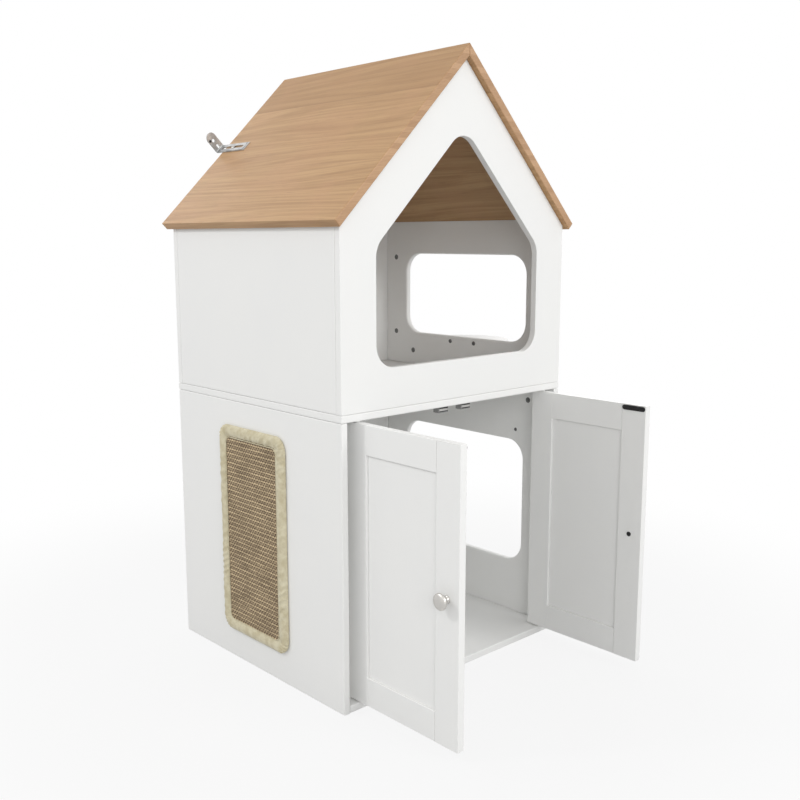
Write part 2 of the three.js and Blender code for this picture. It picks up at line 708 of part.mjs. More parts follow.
function addKnob(door, prefix, side) {
  const x = side * (DOOR_REACH - STILE / 2);
  const z = DOOR_BOTTOM + DOOR_HEIGHT / 2;
  const face = DOOR_BOARD / 2 + SEAM;
  addPiece(door, `${prefix}_knob`, pointAlongY(knobForm()).rotateZ(Math.PI), 'nickel', x, -face, z);
  const length = DOOR_BOARD + 2 * SEAM + KNOB_SCREW_BITE;
  const screw = pointAlongY(screwForm(BOLT_HEAD_RADIUS, BOLT_HEAD, KNOB_SCREW_RADIUS, length));
  addPiece(door, `${prefix}_knob_screw`, screw, 'blackSteel', x, face, z);
}

function addStrikePlate(door, prefix, side) {
  const half = STRIKE_LENGTH / 2;
  const radius = STRIKE_WIDTH / 2 - 0.01;
  const outline = rectangle(-half, -STRIKE_WIDTH / 2, half, STRIKE_WIDTH / 2, radius);
  const plate = standFacingY(slab(outline, STRIKE_PLATE - SEAM)).translate(0, STRIKE_PLATE, 0);
  const x = side * (DOOR_REACH - STILE / 2);
  addPiece(door, `${prefix}_strike_plate`, plate, 'blackSteel', x, DOOR_BOARD / 2, DOOR_TOP - STRIKE_DROP);
}

// side is +1 for the left door, which reaches towards +X when shut, and -1 for the right one
function addDoor(prefix, side) {
  const door = new THREE.Group();
  door.position.set(-side * PIVOT_X, PIVOT_Y, 0);
  door.rotation.z = -side * DOOR_OPEN_ANGLE;
  const middle = side * (DOOR_REACH - DOOR_WIDTH / 2);
  addHingeStile(door, prefix, side);
  addFreeStile(door, prefix, side);
  addPiece(door, `${prefix}_bottom_rail`, rail(), 'lacquer', middle, 0, DOOR_BOTTOM);
  const top = addPiece(door, `${prefix}_top_rail`, rail(), 'lacquer', middle, 0, DOOR_TOP);
  top.rotation.x = Math.PI;
  addDoorPanel(door, prefix, middle);
  addBushings(door, prefix);
  addKnob(door, prefix, side);
  addStrikePlate(door, prefix, side);
  cabinet.add(door);
}

// Pivot pin with a collar that carries the door, its set end at the bottom and its door end up
function pivotPin() {
  return turned([
    [0, -PIN_SET_DEPTH],
    [PIN_RADIUS, -PIN_SET_DEPTH],
    [PIN_RADIUS, COLLAR_FIT / 2],
    [COLLAR_RADIUS, COLLAR_FIT / 2],
    [COLLAR_RADIUS, DOOR_END_GAP - COLLAR_FIT],
    [PIN_RADIUS, DOOR_END_GAP - COLLAR_FIT],
    [PIN_RADIUS, DOOR_END_GAP + PIN_DOOR_DEPTH - 1],
    [PIN_RADIUS - 1, DOOR_END_GAP + PIN_DOOR_DEPTH],
    [0, DOOR_END_GAP + PIN_DOOR_DEPTH],
  ]);
}

function addPivots(prefix, side) {
  const x = -side * PIVOT_X;
  const bore = bar(PIN_RADIUS + SEAM, -PIN_SET_DEPTH - SEAM, 1);
  boards.floor.drill(bore.clone().translate(x, PIVOT_Y, BOARD));
  boards.deck.drill(bore.clone().rotateX(Math.PI).translate(x, PIVOT_Y, CUPBOARD_HEIGHT));
  addPiece(cabinet, `${prefix}_bottom_pin`, pivotPin(), 'whitePlastic', x, PIVOT_Y, BOARD);
  const top = addPiece(cabinet, `${prefix}_top_pin`, pivotPin(), 'whitePlastic', x, PIVOT_Y, CUPBOARD_HEIGHT);
  top.rotation.x = Math.PI;
}

// ---- magnetic catches ----

const POLE_FRONT = PIVOT_Y + DOOR_BOARD / 2 + STRIKE_PLATE + CATCH_CLEARANCE;
const POLE_MIDDLE = DOOR_TOP - STRIKE_DROP;

// Each piece of a catch is drawn from the pole plates' front face at y = 0 and from the middle
// of the magnet at z = 0
function catchHousing(screws) {
  const top = CUPBOARD_HEIGHT - POLE_MIDDLE - SEAM;
  const half = CATCH_WIDTH / 2;
  const pocketHalf = POLE_WIDTH / 2 + SEAM;
  const pocketHeight = MAGNET_HEIGHT / 2 + POLE_PLATE + 2 * SEAM;
  const box = rectangle(-half, top - CATCH_HEIGHT, half, top, 1.5);
  const body = standFacingY(slab(box, CATCH_DEPTH, 0, 1)).translate(0, POLE_PROUD + CATCH_DEPTH, 0);
  const pocket = block(-pocketHalf, pocketHalf, -1, POLE_DEPTH + SEAM, -pocketHeight, pocketHeight);
  return join(cut(body, pocket), ...screws);
}

function polePlate() {
  const half = POLE_WIDTH / 2;
  return block(-half, half, 0, POLE_DEPTH, 0, POLE_PLATE);
}

function magnetBlock() {
  const half = POLE_WIDTH / 2;
  const height = MAGNET_HEIGHT / 2;
  return block(-half, half, POLE_PROUD, POLE_DEPTH, -height, height);
}

// The two screws that hold a catch up to the deck, set fast in its housing
function catchScrews(x) {
  const y = (POLE_DEPTH + CATCH_DEPTH + POLE_PROUD) / 2;
  const under = CUPBOARD_HEIGHT - POLE_MIDDLE - SEAM - CATCH_HEIGHT;
  const bite = CATCH_HEIGHT + SEAM + BOARD / 2;
  return [-1, 1].map((side) => {
    const across = side * (POLE_WIDTH / 2 - SCREW_HEAD_RADIUS);
    const bore = bar(BRACKET_SCREW_RADIUS + SEAM, -1, BOARD / 2 + SEAM, TINY_SIDES);
    boards.deck.drill(bore.translate(x + across, POLE_FRONT + y, CUPBOARD_HEIGHT));
    const screw = screwForm(SCREW_HEAD_RADIUS - 0.8, SCREW_HEAD / 2, BRACKET_SCREW_RADIUS, bite);
    return screw.rotateX(Math.PI).translate(across, y, under);
  });
}

function addCatch(prefix, side) {
  const x = (side * CATCH_SPACING) / 2;
  const upper = POLE_MIDDLE + MAGNET_HEIGHT / 2 + SEAM;
  const lower = POLE_MIDDLE - MAGNET_HEIGHT / 2 - SEAM - POLE_PLATE;
  const housing = catchHousing(catchScrews(x));
  addPiece(cabinet, `${prefix}_catch_housing`, housing, 'greyPlastic', x, POLE_FRONT, POLE_MIDDLE);
  addPiece(cabinet, `${prefix}_catch_upper_pole`, polePlate(), 'blackSteel', x, POLE_FRONT, upper);
  addPiece(cabinet, `${prefix}_catch_lower_pole`, polePlate(), 'blackSteel', x, POLE_FRONT, lower);
  addPiece(cabinet, `${prefix}_catch_magnet`, magnetBlock(), 'magnet', x, POLE_FRONT, POLE_MIDDLE);
}

// ---- step outside the cabin window ----

function addStep() {
  const outline = new THREE.Shape();
  outline.moveTo(0, -STEP_RADIUS);
  outline.absarc(0, 0, STEP_RADIUS, -Math.PI / 2, Math.PI / 2, false);
  outline.closePath();
  const x = HALF_WIDTH + SEAM;
  const z = DECK_TOP + CABIN_SILL - STEP_DROP - STEP_BOARD;
  const middle = z + STEP_BOARD / 2;
  const bores = [['front', -1], ['rear', 1]].map(([place, side]) => {
    const y = (side * STEP_BOLT_SPACING) / 2;
    const length = BOARD + STEP_BOLT_BITE;
    const bore = pointAlongX(bar(STEP_BOLT_RADIUS + SCREW_CLEARANCE, -1, length + 1, TINY_SIDES));
    bore.translate(INNER_X, y, middle);
    boards.rightWall.drill(bore);
    const bolt = screwForm(BOLT_HEAD_RADIUS, BOLT_HEAD, STEP_BOLT_RADIUS, length).rotateX(Math.PI);
    addPiece(cabinet, `step_${place}_bolt`, pointAlongX(bolt), 'blackSteel', INNER_X - SEAM, y, middle);
    return bore.clone().translate(-x, 0, -z);
  });
  const step = slab(outline, STEP_BOARD, STEP_EASE, STEP_ARC_STEPS);
  addPiece(cabinet, 'side_step', cut(step, ...bores), 'lacquer', x, 0, z);
}

function addWallScrew() {
  const y = WINDOW_FRONT + WALL_SCREW_BEHIND_EDGE;
  const z = CUPBOARD_SILL + CUPBOARD_WINDOW_HEIGHT + WALL_SCREW_ABOVE_WINDOW;
  const screw = screwForm(SCREW_HEAD_RADIUS, SCREW_HEAD / 2, BRACKET_SCREW_RADIUS, WALL_SCREW_BITE);
  const bore = bar(BRACKET_SCREW_RADIUS + SEAM, -1, WALL_SCREW_BITE + SEAM, TINY_SIDES);
  boards.rightSide.drill(pointAlongX(bore).translate(INNER_X, y, z));
  const geometry = pointAlongX(screw.rotateX(Math.PI));
  addPiece(cabinet, 'cupboard_wall_screw', geometry, 'blackSteel', INNER_X - SEAM, y, z);
}

// ---- scratching pad ----

// Stations round a rounded rectangle, anticlockwise: a point and its outward direction
function padStations(inset) {
  const stations = [];
  const halfWidth = PAD_WIDTH / 2 - PAD_RADIUS;
  const halfHeight = PAD_HEIGHT / 2 - PAD_RADIUS;
  const radius = PAD_RADIUS - inset;
  const turns = 6;
  [[1, -1, -90], [1, 1, 0], [-1, 1, 90], [-1, -1, 180]].forEach(([sx, sz, start]) => {
    for (let i = 0; i <= turns; i += 1) {
      const angle = THREE.MathUtils.degToRad(start + (90 * i) / turns);
      const out = new THREE.Vector2(Math.cos(angle), Math.sin(angle));
      stations.push(new THREE.Vector2(sx * halfWidth, sz * halfHeight).addScaledVector(out, radius));
    }
  });
  return stations;
}

// A soft section of [inset, height] points swept round the pad as one closed ring
function padRing(section) {
  const rings = section.map(([inset]) => padStations(inset));
  const count = rings[0].length;
  const positions = [];
  for (let s = 0; s < count; s += 1) {
    section.forEach(([, height], p) => positions.push(rings[p][s].x, rings[p][s].y, height));
  }
  const index = [];
  const n = section.length;
  for (let s = 0; s < count; s += 1) {
    for (let p = 0; p < n; p += 1) {
      const a = s * n + p;
      const b = s * n + ((p + 1) % n);
      const c = ((s + 1) % count) * n + ((p + 1) % n);
      const d = ((s + 1) % count) * n + p;
      index.push(a, c, b, a, d, c);
    }
  }
  const geometry = new THREE.BufferGeometry();
  geometry.setAttribute('position', new THREE.Float32BufferAttribute(positions, 3));
  geometry.setAttribute('normal', new THREE.Float32BufferAttribute(positions.length, 3));
  geometry.setAttribute('uv', new THREE.Float32BufferAttribute((positions.length / 3) * 2, 2));
  geometry.setIndex(index);
  return geometry;
}

// Padded binding: a crowned roll that lies on the backing and wraps round its edge
function bindingForm() {
  const back = PAD_SEAT + BACKING_BOARD + PAD_SEAT;
  const crown = [];
  for (let i = 0; i <= 6; i += 1) {
    const share = i / 6;
    const swell = Math.sin(Math.PI * share) ** 0.6;
    const base = BINDING_LIP + (BACKING_BOARD - BINDING_LIP) * (1 - share);
    crown.push([BINDING_WIDTH * share, base + (BINDING_CROWN - base) * swell]);
  }
  return padRing([
    [0, PAD_SEAT],
    ...crown,
    [BINDING_WIDTH, back],
    [BINDING_TURN, back],
    [BINDING_TURN, PAD_SEAT],
  ]);
}

function padSlab(inset, thickness) {
  const outline = new THREE.Shape(padStations(inset));
  return slab(outline, thickness);
}

// The pad is drawn face up and then stood against the left side, facing -X
function addScratchPad() {
  const pad = new THREE.Group();
  pad.position.set(-HALF_WIDTH, 0, PAD_MIDDLE);
  pad.setRotationFromMatrix(new THREE.Matrix4().makeBasis(FORWARD, UP, vector(-1, 0, 0)));
  const backing = padSlab(BINDING_TURN + PAD_SEAT, BACKING_BOARD);
  const mat = padSlab(BINDING_WIDTH + PAD_SEAT, MAT_THICKNESS);
  addPiece(pad, 'scratch_pad_backing', backing, 'backing', 0, 0, PAD_SEAT);
  addPiece(pad, 'sisal_mat', mat, 'sisal', 0, 0, PAD_SEAT + BACKING_BOARD + PAD_SEAT);
  addPiece(pad, 'pad_binding', bindingForm(), 'suede');
  cabinet.add(pad);
}

// ---- anti-tip bracket ----

// The bracket's own frame: x up the slope, y towards the wall, z out of the roof, at the bend's outer face.
// A bent strip has its outer faces on y = 0 and z = 0.
function bentStrip(thickness, width, roofArm, wallArm) {
  const outer = BRACKET_BEND + BRACKET_PLATE;
  const side = roundedOutline([
    [-roofArm, 0],
    [0, 0, outer],
    [0, wallArm],
    [-thickness, wallArm],
    [-thickness, thickness, outer - thickness],
    [-roofArm, thickness],
  ]);
  return standFacingX(slab(side, width, 0, 2));
}

// Two ribs pressed up on the inner side of the bend
function bracketRibs() {
  const roofArm = BRACKET_ROOF_ARM - BRACKET_RIB_END;
  const edge = BRACKET_WIDTH / 2 - BRACKET_RIB_INSET;
  const thickness = BRACKET_PLATE + BRACKET_RIB_HEIGHT;
  const rib = bentStrip(thickness, BRACKET_RIB_WIDTH, roofArm, BRACKET_RIB_RISE);
  return [rib.clone().translate(-edge, 0, 0), rib.clone().translate(edge - BRACKET_RIB_WIDTH, 0, 0)];
}

function bracketForm() {
  const half = BRACKET_WIDTH / 2;
  const plain = bentStrip(BRACKET_PLATE, BRACKET_WIDTH, BRACKET_ROOF_ARM, BRACKET_WALL_ARM);
  const strip = join(plain.translate(-half, 0, 0), ...bracketRibs());
  const round = half - 0.01;
  const wallEnd = roundedOutline([
    [-half, -1], [half, -1], [half, BRACKET_WALL_ARM, round], [-half, BRACKET_WALL_ARM, round],
  ]);
  const roofEnd = roundedOutline([
    [half, 1], [-half, 1], [-half, -BRACKET_ROOF_ARM, BRACKET_BEND], [half, -BRACKET_ROOF_ARM, BRACKET_BEND],
  ]);
  const length = BRACKET_ROOF_ARM + 2;
  const wallLimit = standFacingY(slab(wallEnd, length)).translate(0, 1, 0);
  const roofLimit = slab(roofEnd, BRACKET_WALL_ARM + 2).translate(0, 0, -1);
  return cut(keepInside(strip, wallLimit, roofLimit), ...bracketHoles());
}

function bracketHoles() {
  const through = (geometry, x, z) => pointAlongY(geometry).translate(x, 0, z);
  const screwHole = BRACKET_SCREW_RADIUS + SCREW_CLEARANCE;
  const reach = BRACKET_PLATE + BRACKET_BEND + 1;
  const slotHalf = BRACKET_SLOT_WIDTH / 2;
  const slotReach = BRACKET_SLOT_LENGTH / 2;
  const adjustHalf = ADJUSTING_SLOT_WIDTH / 2;
  const adjustEnd = -ADJUSTING_SLOT_START - ADJUSTING_SLOT_LENGTH;
  const adjusting = rectangle(-adjustHalf, adjustEnd, adjustHalf, -ADJUSTING_SLOT_START, adjustHalf - 0.01);
  return [
    through(bar(BRACKET_HOLE_RADIUS, -reach, 1), 0, BRACKET_HOLE_HEIGHT),
    through(bar(screwHole, -reach, 1), -BRACKET_SCREW_SIDE, BRACKET_SCREW_HEIGHT),
    block(-slotHalf, slotHalf, -reach, 1, BRACKET_SLOT_HEIGHT - slotReach, BRACKET_SLOT_HEIGHT + slotReach),
    slab(adjusting, reach + 1).translate(0, 0, -1),
  ];
}

function addBracket() {
  const bracket = new THREE.Group();
  const x = (-SLOPE_LENGTH / 2) * Math.cos(ROOF_PITCH);
  const z = RIDGE_Z + x * Math.tan(ROOF_PITCH);
  const lift = SCREW_CLEARANCE;
  bracket.position.set(x, BACK + BACK_OVERHANG + BRACKET_REACH, z);
  bracket.rotation.y = -ROOF_PITCH;
  addPiece(bracket, 'anti_tip_bracket', bracketForm(), 'zinc', 0, 0, lift);
  const top = lift + BRACKET_PLATE + SEAM;
  const length = ROOF_SCREW_BITE + top;
  const roofScrew = screwForm(ROOF_SCREW_HEAD_RADIUS, SCREW_HEAD, BRACKET_SCREW_RADIUS, length);
  addPiece(bracket, 'bracket_roof_screw', roofScrew, 'nickel', 0, -BRACKET_SCREW_REACH, top);
  const wallScrew = screwForm(SCREW_HEAD_RADIUS - 1, SCREW_HEAD / 3, BRACKET_SCREW_RADIUS, WALL_SCREW_LENGTH);
  const geometry = pointAlongY(wallScrew.rotateX(Math.PI));
  const height = lift + BRACKET_SCREW_HEIGHT;
  const front = -BRACKET_PLATE - SEAM;
  addPiece(bracket, 'bracket_wall_screw', geometry, 'nickel', -BRACKET_SCREW_SIDE, front, height);
  cabinet.add(bracket);
  const bore = bar(BRACKET_SCREW_RADIUS + SCREW_CLEARANCE, -ROOF_SCREW_BITE - SCREW_CLEARANCE, 1, TINY_SIDES);
  bore.rotateY(-ROOF_PITCH).translate(x, BACK + BACK_OVERHANG + BRACKET_REACH - BRACKET_SCREW_REACH, z);
  boards.leftRoof.drill(bore);
}

// ---- assembly ----

addDoor('left_door', 1);
addDoor('right_door', -1);
addPivots('left_pivot', 1);
addPivots('right_pivot', -1);
addCatch('left', -1);
addCatch('right', 1);
addStep();
addWallScrew();
addScratchPad();
addBracket();
addCamLocks();
for (const board of Object.values(boards)) board.addTo(cabinet);

export default cabinet;
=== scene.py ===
# %% [markdown]
# # A cat litter box cabinet, dressed in Blender
#
# The cabinet is a two-door cupboard with a gabled cabin on top: white lacquered boards, an oak
# roof, a sisal scratching pad and a little metal hardware. Its exact solids already exist, each
# in its real place and size. This lesson gives them their finishes, and models again, with
# Blender's own tools, each piece whose look needs more than flat faces.
#
# The cells run from top to bottom. Lengths are in metres, and MM turns millimetres into them.

# %% Load the frame
import json
import math

import bmesh
import bpy
from mathutils import Matrix, Vector, noise


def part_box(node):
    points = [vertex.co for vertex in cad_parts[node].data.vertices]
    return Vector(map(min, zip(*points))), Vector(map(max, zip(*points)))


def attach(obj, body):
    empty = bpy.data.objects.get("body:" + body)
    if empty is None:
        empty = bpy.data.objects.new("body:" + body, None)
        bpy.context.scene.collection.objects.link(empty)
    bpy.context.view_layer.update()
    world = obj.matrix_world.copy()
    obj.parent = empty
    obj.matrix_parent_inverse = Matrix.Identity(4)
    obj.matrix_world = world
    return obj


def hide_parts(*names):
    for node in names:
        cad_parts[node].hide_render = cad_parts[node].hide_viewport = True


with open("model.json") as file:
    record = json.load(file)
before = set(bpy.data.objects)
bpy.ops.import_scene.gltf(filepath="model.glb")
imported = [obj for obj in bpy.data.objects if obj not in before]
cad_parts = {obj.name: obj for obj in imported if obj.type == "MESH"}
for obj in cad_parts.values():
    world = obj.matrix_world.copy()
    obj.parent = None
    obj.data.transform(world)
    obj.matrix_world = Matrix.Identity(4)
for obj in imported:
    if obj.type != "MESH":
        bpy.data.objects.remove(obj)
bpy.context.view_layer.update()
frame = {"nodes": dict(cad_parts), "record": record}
MM = 0.001

# %% [markdown]
# ## Camera
#
# The picture to match was taken from the front left, a little above the doors, with the camera
# tipped slightly down. Its place and lens were worked out from the cabinet's straight edges,
# whose real directions are known: edges that are parallel on the object meet in one vanishing
# point in the picture. Setting the same lens and place makes every edge fall where it should,
# which is quicker and truer than turning the camera by eye.

# %% Camera
EYE = Vector((-1.33366, -1.52801, 0.85203))
TURN = math.radians(42.969)
TIP = math.radians(9.487)

camera_data = bpy.data.cameras.new("camera")
camera_data.lens = 43.295
camera_data.sensor_width = 36
camera = bpy.data.objects.new("camera", camera_data)
bpy.context.scene.collection.objects.link(camera)
camera.location = EYE
camera.rotation_euler = (math.pi / 2 - TIP, 0, -TURN)
bpy.context.scene.camera = camera
print("camera at", tuple(round(c, 3) for c in EYE))

# %% [markdown]
# ## Writing shaders as sums
#
# A finish is a small net of shader nodes. Wiring it by hand takes one line per node and one per
# wire, and the thought behind it gets lost. Here a socket is wrapped in a class that knows +, -,
# * and /, so a mask can be written as the sum that it is, and every other node comes from one
# method. Only numbers that change over the surface are made from nodes.

# %% A socket that can be reckoned with
class Wire:
    """A node's output, which Python's operators carry on with Math nodes."""

    def __init__(self, finish, socket):
        self.finish = finish
        self.socket = socket

    def sum(self, operation, *values):
        return self.finish.node("Math", {"operation": operation}, *values)

    def __add__(self, other):
        return self.sum("ADD", self, other)

    def __sub__(self, other):
        return self.sum("SUBTRACT", self, other)

    def __mul__(self, other):
        return self.sum("MULTIPLY", self, other)

    def __truediv__(self, other):
        return self.sum("DIVIDE", self, other)

    def __rsub__(self, other):
        return self.sum("SUBTRACT", other, self)

    __radd__ = __add__
    __rmul__ = __mul__

    def abs(self):
        return self.sum("ABSOLUTE", self)

    def floor(self):
        return self.sum("FLOOR", self)

    def wave(self):
        return self.sum("SINE", self)

    def above(self, limit):
        return self.sum("GREATER_THAN", self, limit)

    def fade(self, low, high):
        """0 below low, 1 above high, and smooth between."""
        settings = {"interpolation_type": "SMOOTHSTEP", "clamp": True}
        return self.finish.node("MapRange", settings, self, low, high, 0.0, 1.0)


class Finish:
    """A material under construction, round its one Principled shader."""

    def __init__(self, name, colour, roughness, metallic=0.0, **constants):
        self.material = bpy.data.materials.new(name)
        self.material.use_nodes = True
        self.tree = self.material.node_tree
        self.shader = self.tree.nodes["Principled BSDF"]
        self.set(Base_Color=(*colour, 1.0), Roughness=roughness, Metallic=metallic, **constants)

    def plug(self, socket, value):
        if isinstance(value, Wire):
            self.tree.links.new(value.socket, socket)
        elif socket.type == "RGBA" and len(value) == 3:
            socket.default_value = (*value, 1.0)
        else:
            socket.default_value = value

    def set(self, **sockets):
        for name, value in sockets.items():
            self.plug(self.shader.inputs[name.replace("_", " ")], value)

    def node(self, kind, settings, *values, out=0, **named):
        """Adds one node: its settings, its sockets in order or by name, and which output to use."""
        node = self.tree.nodes.new("ShaderNode" + kind)
        for key, value in settings.items():
            if key == "stops":
                for stop, (place, colour) in zip(self.stops(node, len(value)), value):
                    stop.position = place
                    stop.color = (*colour, 1.0)
            else:
                setattr(node, key, value)
        sockets = [socket for socket in node.inputs if socket.enabled]
        for socket, value in zip(sockets, values):
            self.plug(socket, value)
        for name, value in named.items():
            self.plug(next(s for s in sockets if s.name == name.replace("_", " ")), value)
        outputs = [socket for socket in node.outputs if socket.enabled]
        return Wire(self, outputs[out] if isinstance(out, int) else node.outputs[out])

    def stops(self, node, count):
        elements = node.color_ramp.elements
        while len(elements) < count:
            elements.new(0.5)
        return elements

    def place(self, stretch=(1, 1, 1), turn=(0, 0, 0)):
        """Object coordinates, turned and stretched."""
        spot = self.node("TexCoord", {}, out="Object")
        return self.node("Mapping", {}, Vector=spot, Rotation=turn, Scale=stretch)

    def axes(self):
        """Object coordinates as three numbers."""
        spot = self.node("TexCoord", {}, out="Object")
        return [self.node("SeparateXYZ", {}, spot, out=i) for i in range(3)]

    def noise(self, scale, detail=2.0, rough=0.5, **where):
        return self.node("TexNoise", {}, Scale=scale, Detail=detail, Roughness=rough, **where)

    def blend(self, factor, first, second, how="MIX"):
        settings = {"data_type": "RGBA", "blend_type": how}
        return self.node("Mix", settings, factor, first, second)

    def bump(self, height, distance, strength=1.0):
        bump = self.node("Bump", {}, Height=height, Distance=distance, Strength=strength)
        self.set(Normal=bump)

    def worn_edges(self, radius):
        """1 along the edges of a piece and 0 on its faces."""
        soft = self.node("Bevel", {"samples": 4}, Radius=radius)
        hard = self.node("NewGeometry", {}, out="Normal")
        along = self.node("VectorMath", {"operation": "DOT_PRODUCT"}, soft, hard, out="Value")
        return (1.0 - along).fade(0.01, 0.25)


print("shader helpers ready")

# %% [markdown]
# ## White lacquer
#
# The boards are white lacquered fibreboard: smooth and even, with the faint orange peel of
# sprayed lacquer, and edges that hands and claws have dulled a little. A plain white would look
# like plastic, so a fine noise moves the roughness, a wider one warms and cools the white by a
# hair, and the edges get a greyer tone where they are rubbed.

# %% White lacquer
def make_lacquer():
    lacquer = Finish("white lacquer", (0.83, 0.83, 0.815), 0.4)
    cloud = lacquer.noise(7.0, 3.0, Vector=lacquer.place())
    tone = lacquer.blend(cloud, (0.84, 0.838, 0.82), (0.815, 0.817, 0.808))
    rub = lacquer.worn_edges(0.0016) * lacquer.noise(60.0, 3.0, Vector=lacquer.place()).fade(0.42, 0.62)
    lacquer.set(Base_Color=lacquer.blend(rub * 0.5, tone, (0.66, 0.65, 0.62)))
    lacquer.set(Roughness=0.36 + cloud * 0.1 + rub * 0.15)
    peel = lacquer.noise(420.0, 1.0, Vector=lacquer.place())
    lacquer.bump(peel, 0.00006, 0.5)
    return lacquer.material


LACQUER = make_lacquer()
print("made", LACQUER.name)

# %% [markdown]
# ## Oak
#
# The roof is oak: straight grain along the ridge with long open arches where the saw crossed the
# growth rings, short dark pores, and leaves of veneer whose tone changes at each joint. A solid
# texture is used rather than a flat one, so that the grain runs through the board: stretching a
# noise along the ridge gives the figure, its contour lines give the rings, and a finer, longer
# noise gives the pores. The ends of the boards are cut from the same solid, so they show the short
# blocks that edging has.

# %% Oak
RIDGE_HEIGHT = 1.2026
FIRST_JOINT = 0.115  # down the slope from the ridge
LEAF_WIDTH = 0.19
GLUE_LINE = 0.0016
STAVE = 0.014  # width of the blocks in the edging


def make_oak():
    oak = Finish("oak", (0.5, 0.33, 0.19), 0.5)
    x, y, z = oak.axes()
    down = (RIDGE_HEIGHT - z) * math.sqrt(2)
    top_leaf = 1.0 - down.above(FIRST_JOINT)
    leaf = ((down - FIRST_JOINT) / LEAF_WIDTH).floor() + x.above(0.0) * 7.0
    shift = oak.node("TexWhiteNoise", {"noise_dimensions": "1D"}, leaf, out="Value")
    spot = oak.node("CombineXYZ", {}, down * 7.0 + shift * 31.0, y * 1.05 + shift * 5.0, x * 3.0)
    figure = oak.noise(1.0, 1.0, 0.4, Vector=spot)
    ring = ((figure * 48.0 + down * 190.0).wave() * 0.5 + 0.5).fade(0.35, 1.0)
    wide = oak.node("CombineXYZ", {}, down * 120.0 + figure * 14.0, y * 1.7 + shift * 50.0, x * 60.0)
    streak = oak.noise(1.0, 3.0, 0.62, Vector=wide).fade(0.36, 0.66)
    fine = oak.node("CombineXYZ", {}, down * 480.0, y * 9.0 + shift * 50.0, x * 90.0)
    fibre = oak.noise(1.0, 3.0, 0.6, Vector=fine)
    long_pores = oak.node("CombineXYZ", {}, down * 900.0, y * 26.0, x * 300.0 + shift * 90.0)
    pore = oak.noise(1.0, 1.0, 0.5, Vector=long_pores).fade(0.62, 0.74)
    light, mid, dark = (0.515, 0.315, 0.148), (0.33, 0.177, 0.07), (0.24, 0.122, 0.047)
    tone = oak.blend(ring * 0.22 + streak * 0.5 + fibre * 0.22, light, mid)
    blush = oak.noise(11.0, 2.0, Vector=oak.place()).fade(0.4, 0.65)
    tone = oak.blend(blush * 0.3, tone, (0.485, 0.265, 0.132))
    near_joint = top_leaf * down.fade(FIRST_JOINT - 0.03, FIRST_JOINT)
    tone = oak.blend(top_leaf * 0.3 + near_joint * 0.25 + shift * 0.12, tone, mid)
    tone = oak.blend(pore * 0.4, tone, dark)
    glue_line = 1.0 - ((down - FIRST_JOINT).abs() / GLUE_LINE).fade(0.0, 1.0)
    tone = oak.blend(glue_line * 0.5, tone, dark)
    end = oak.node("SeparateXYZ", {}, oak.node("NewGeometry", {}, out="Normal"), out=1).abs().above(0.7)
    stave = oak.node("TexWhiteNoise", {"noise_dimensions": "1D"}, (down / STAVE).floor(), out="Value")
    slant = (down + z * 0.35) * 2600.0 + stave * 9.0
    stripe = (slant + fibre * 4.0).wave() * 0.5 + 0.5
    edging = oak.blend(stave * 0.4 + stripe * 0.42, (0.56, 0.35, 0.2), (0.3, 0.16, 0.072))
    oak.set(Base_Color=oak.blend(end, tone, edging))
    oak.set(Roughness=0.42 + fibre * 0.16)
    oak.bump(fibre * 0.4 + ring * 0.2 - pore * 0.8, 0.0002, 0.5)
    return oak.material


OAK = make_oak()
print("made", OAK.name)

# %% [markdown]
# ## Plastics
#
# The catch housings are moulded in grey plastic and the door's bushings in white. A moulding
# takes the fine, even grain of its mould and a faint cloudiness where the plastic flowed. Two
# noises do that, one for the grain in roughness and bump and one for the cloud in the colour.

# %% Plastics
def shade(colour, share):
    return tuple(channel * share for channel in colour)


def make_moulded(name, colour, roughness):
    plastic = Finish(name, colour, roughness)
    grain = plastic.noise(900.0, 2.0, Vector=plastic.place())
    flow = plastic.noise(45.0, 2.0, Vector=plastic.place())
    plastic.set(Base_Color=plastic.blend(flow.fade(0.3, 0.7), colour, shade(colour, 0.88)))
    plastic.set(Roughness=roughness - 0.06 + grain * 0.12)
    plastic.bump(grain, 0.00006, 0.5)
    return plastic.material


WHITE_PLASTIC = make_moulded("white plastic", (0.8, 0.8, 0.78), 0.4)
GREY_PLASTIC = make_moulded("grey plastic", (0.30, 0.30, 0.295), 0.45)
print("made", WHITE_PLASTIC.name, "and", GREY_PLASTIC.name)

# %% [markdown]
# ## Metals
#
# The knobs are satin nickel, the bracket is zinc-plated strip, the drums of the cam locks are
# zinc castings, and the strike plates and most screws are black steel. They differ in tone and in how the
# tool left them, but are made alike: a plating is cloudy between two tones, has fine marks in the
# direction in which it was drawn or turned, and rubs bright along its edges. The castings' zinc is
# painted darker than the metal is, as painted shade for the recess each drum sits in; the step
# bolts and one wall screw share it.

# %% Metals
def make_metal(name, bright, dull, roughness, marks, worn, metallic=1.0):
    """A metal whose marks are stretched by the three scales given."""
    metal = Finish(name, bright, roughness, metallic)
    cloud = metal.noise(60.0, 3.0, Vector=metal.place())
    drawn = metal.noise(1.0, 2.0, Vector=metal.place(stretch=marks))
    rub = metal.worn_edges(0.0006) * 0.6
    tone = metal.blend(cloud.fade(0.35, 0.65), bright, dull)
    metal.set(Base_Color=metal.blend(rub, tone, worn))
    metal.set(Roughness=roughness - 0.13 + cloud * 0.14 + drawn * 0.12)
    metal.bump(drawn, 0.00005, 0.5)
    return metal.material


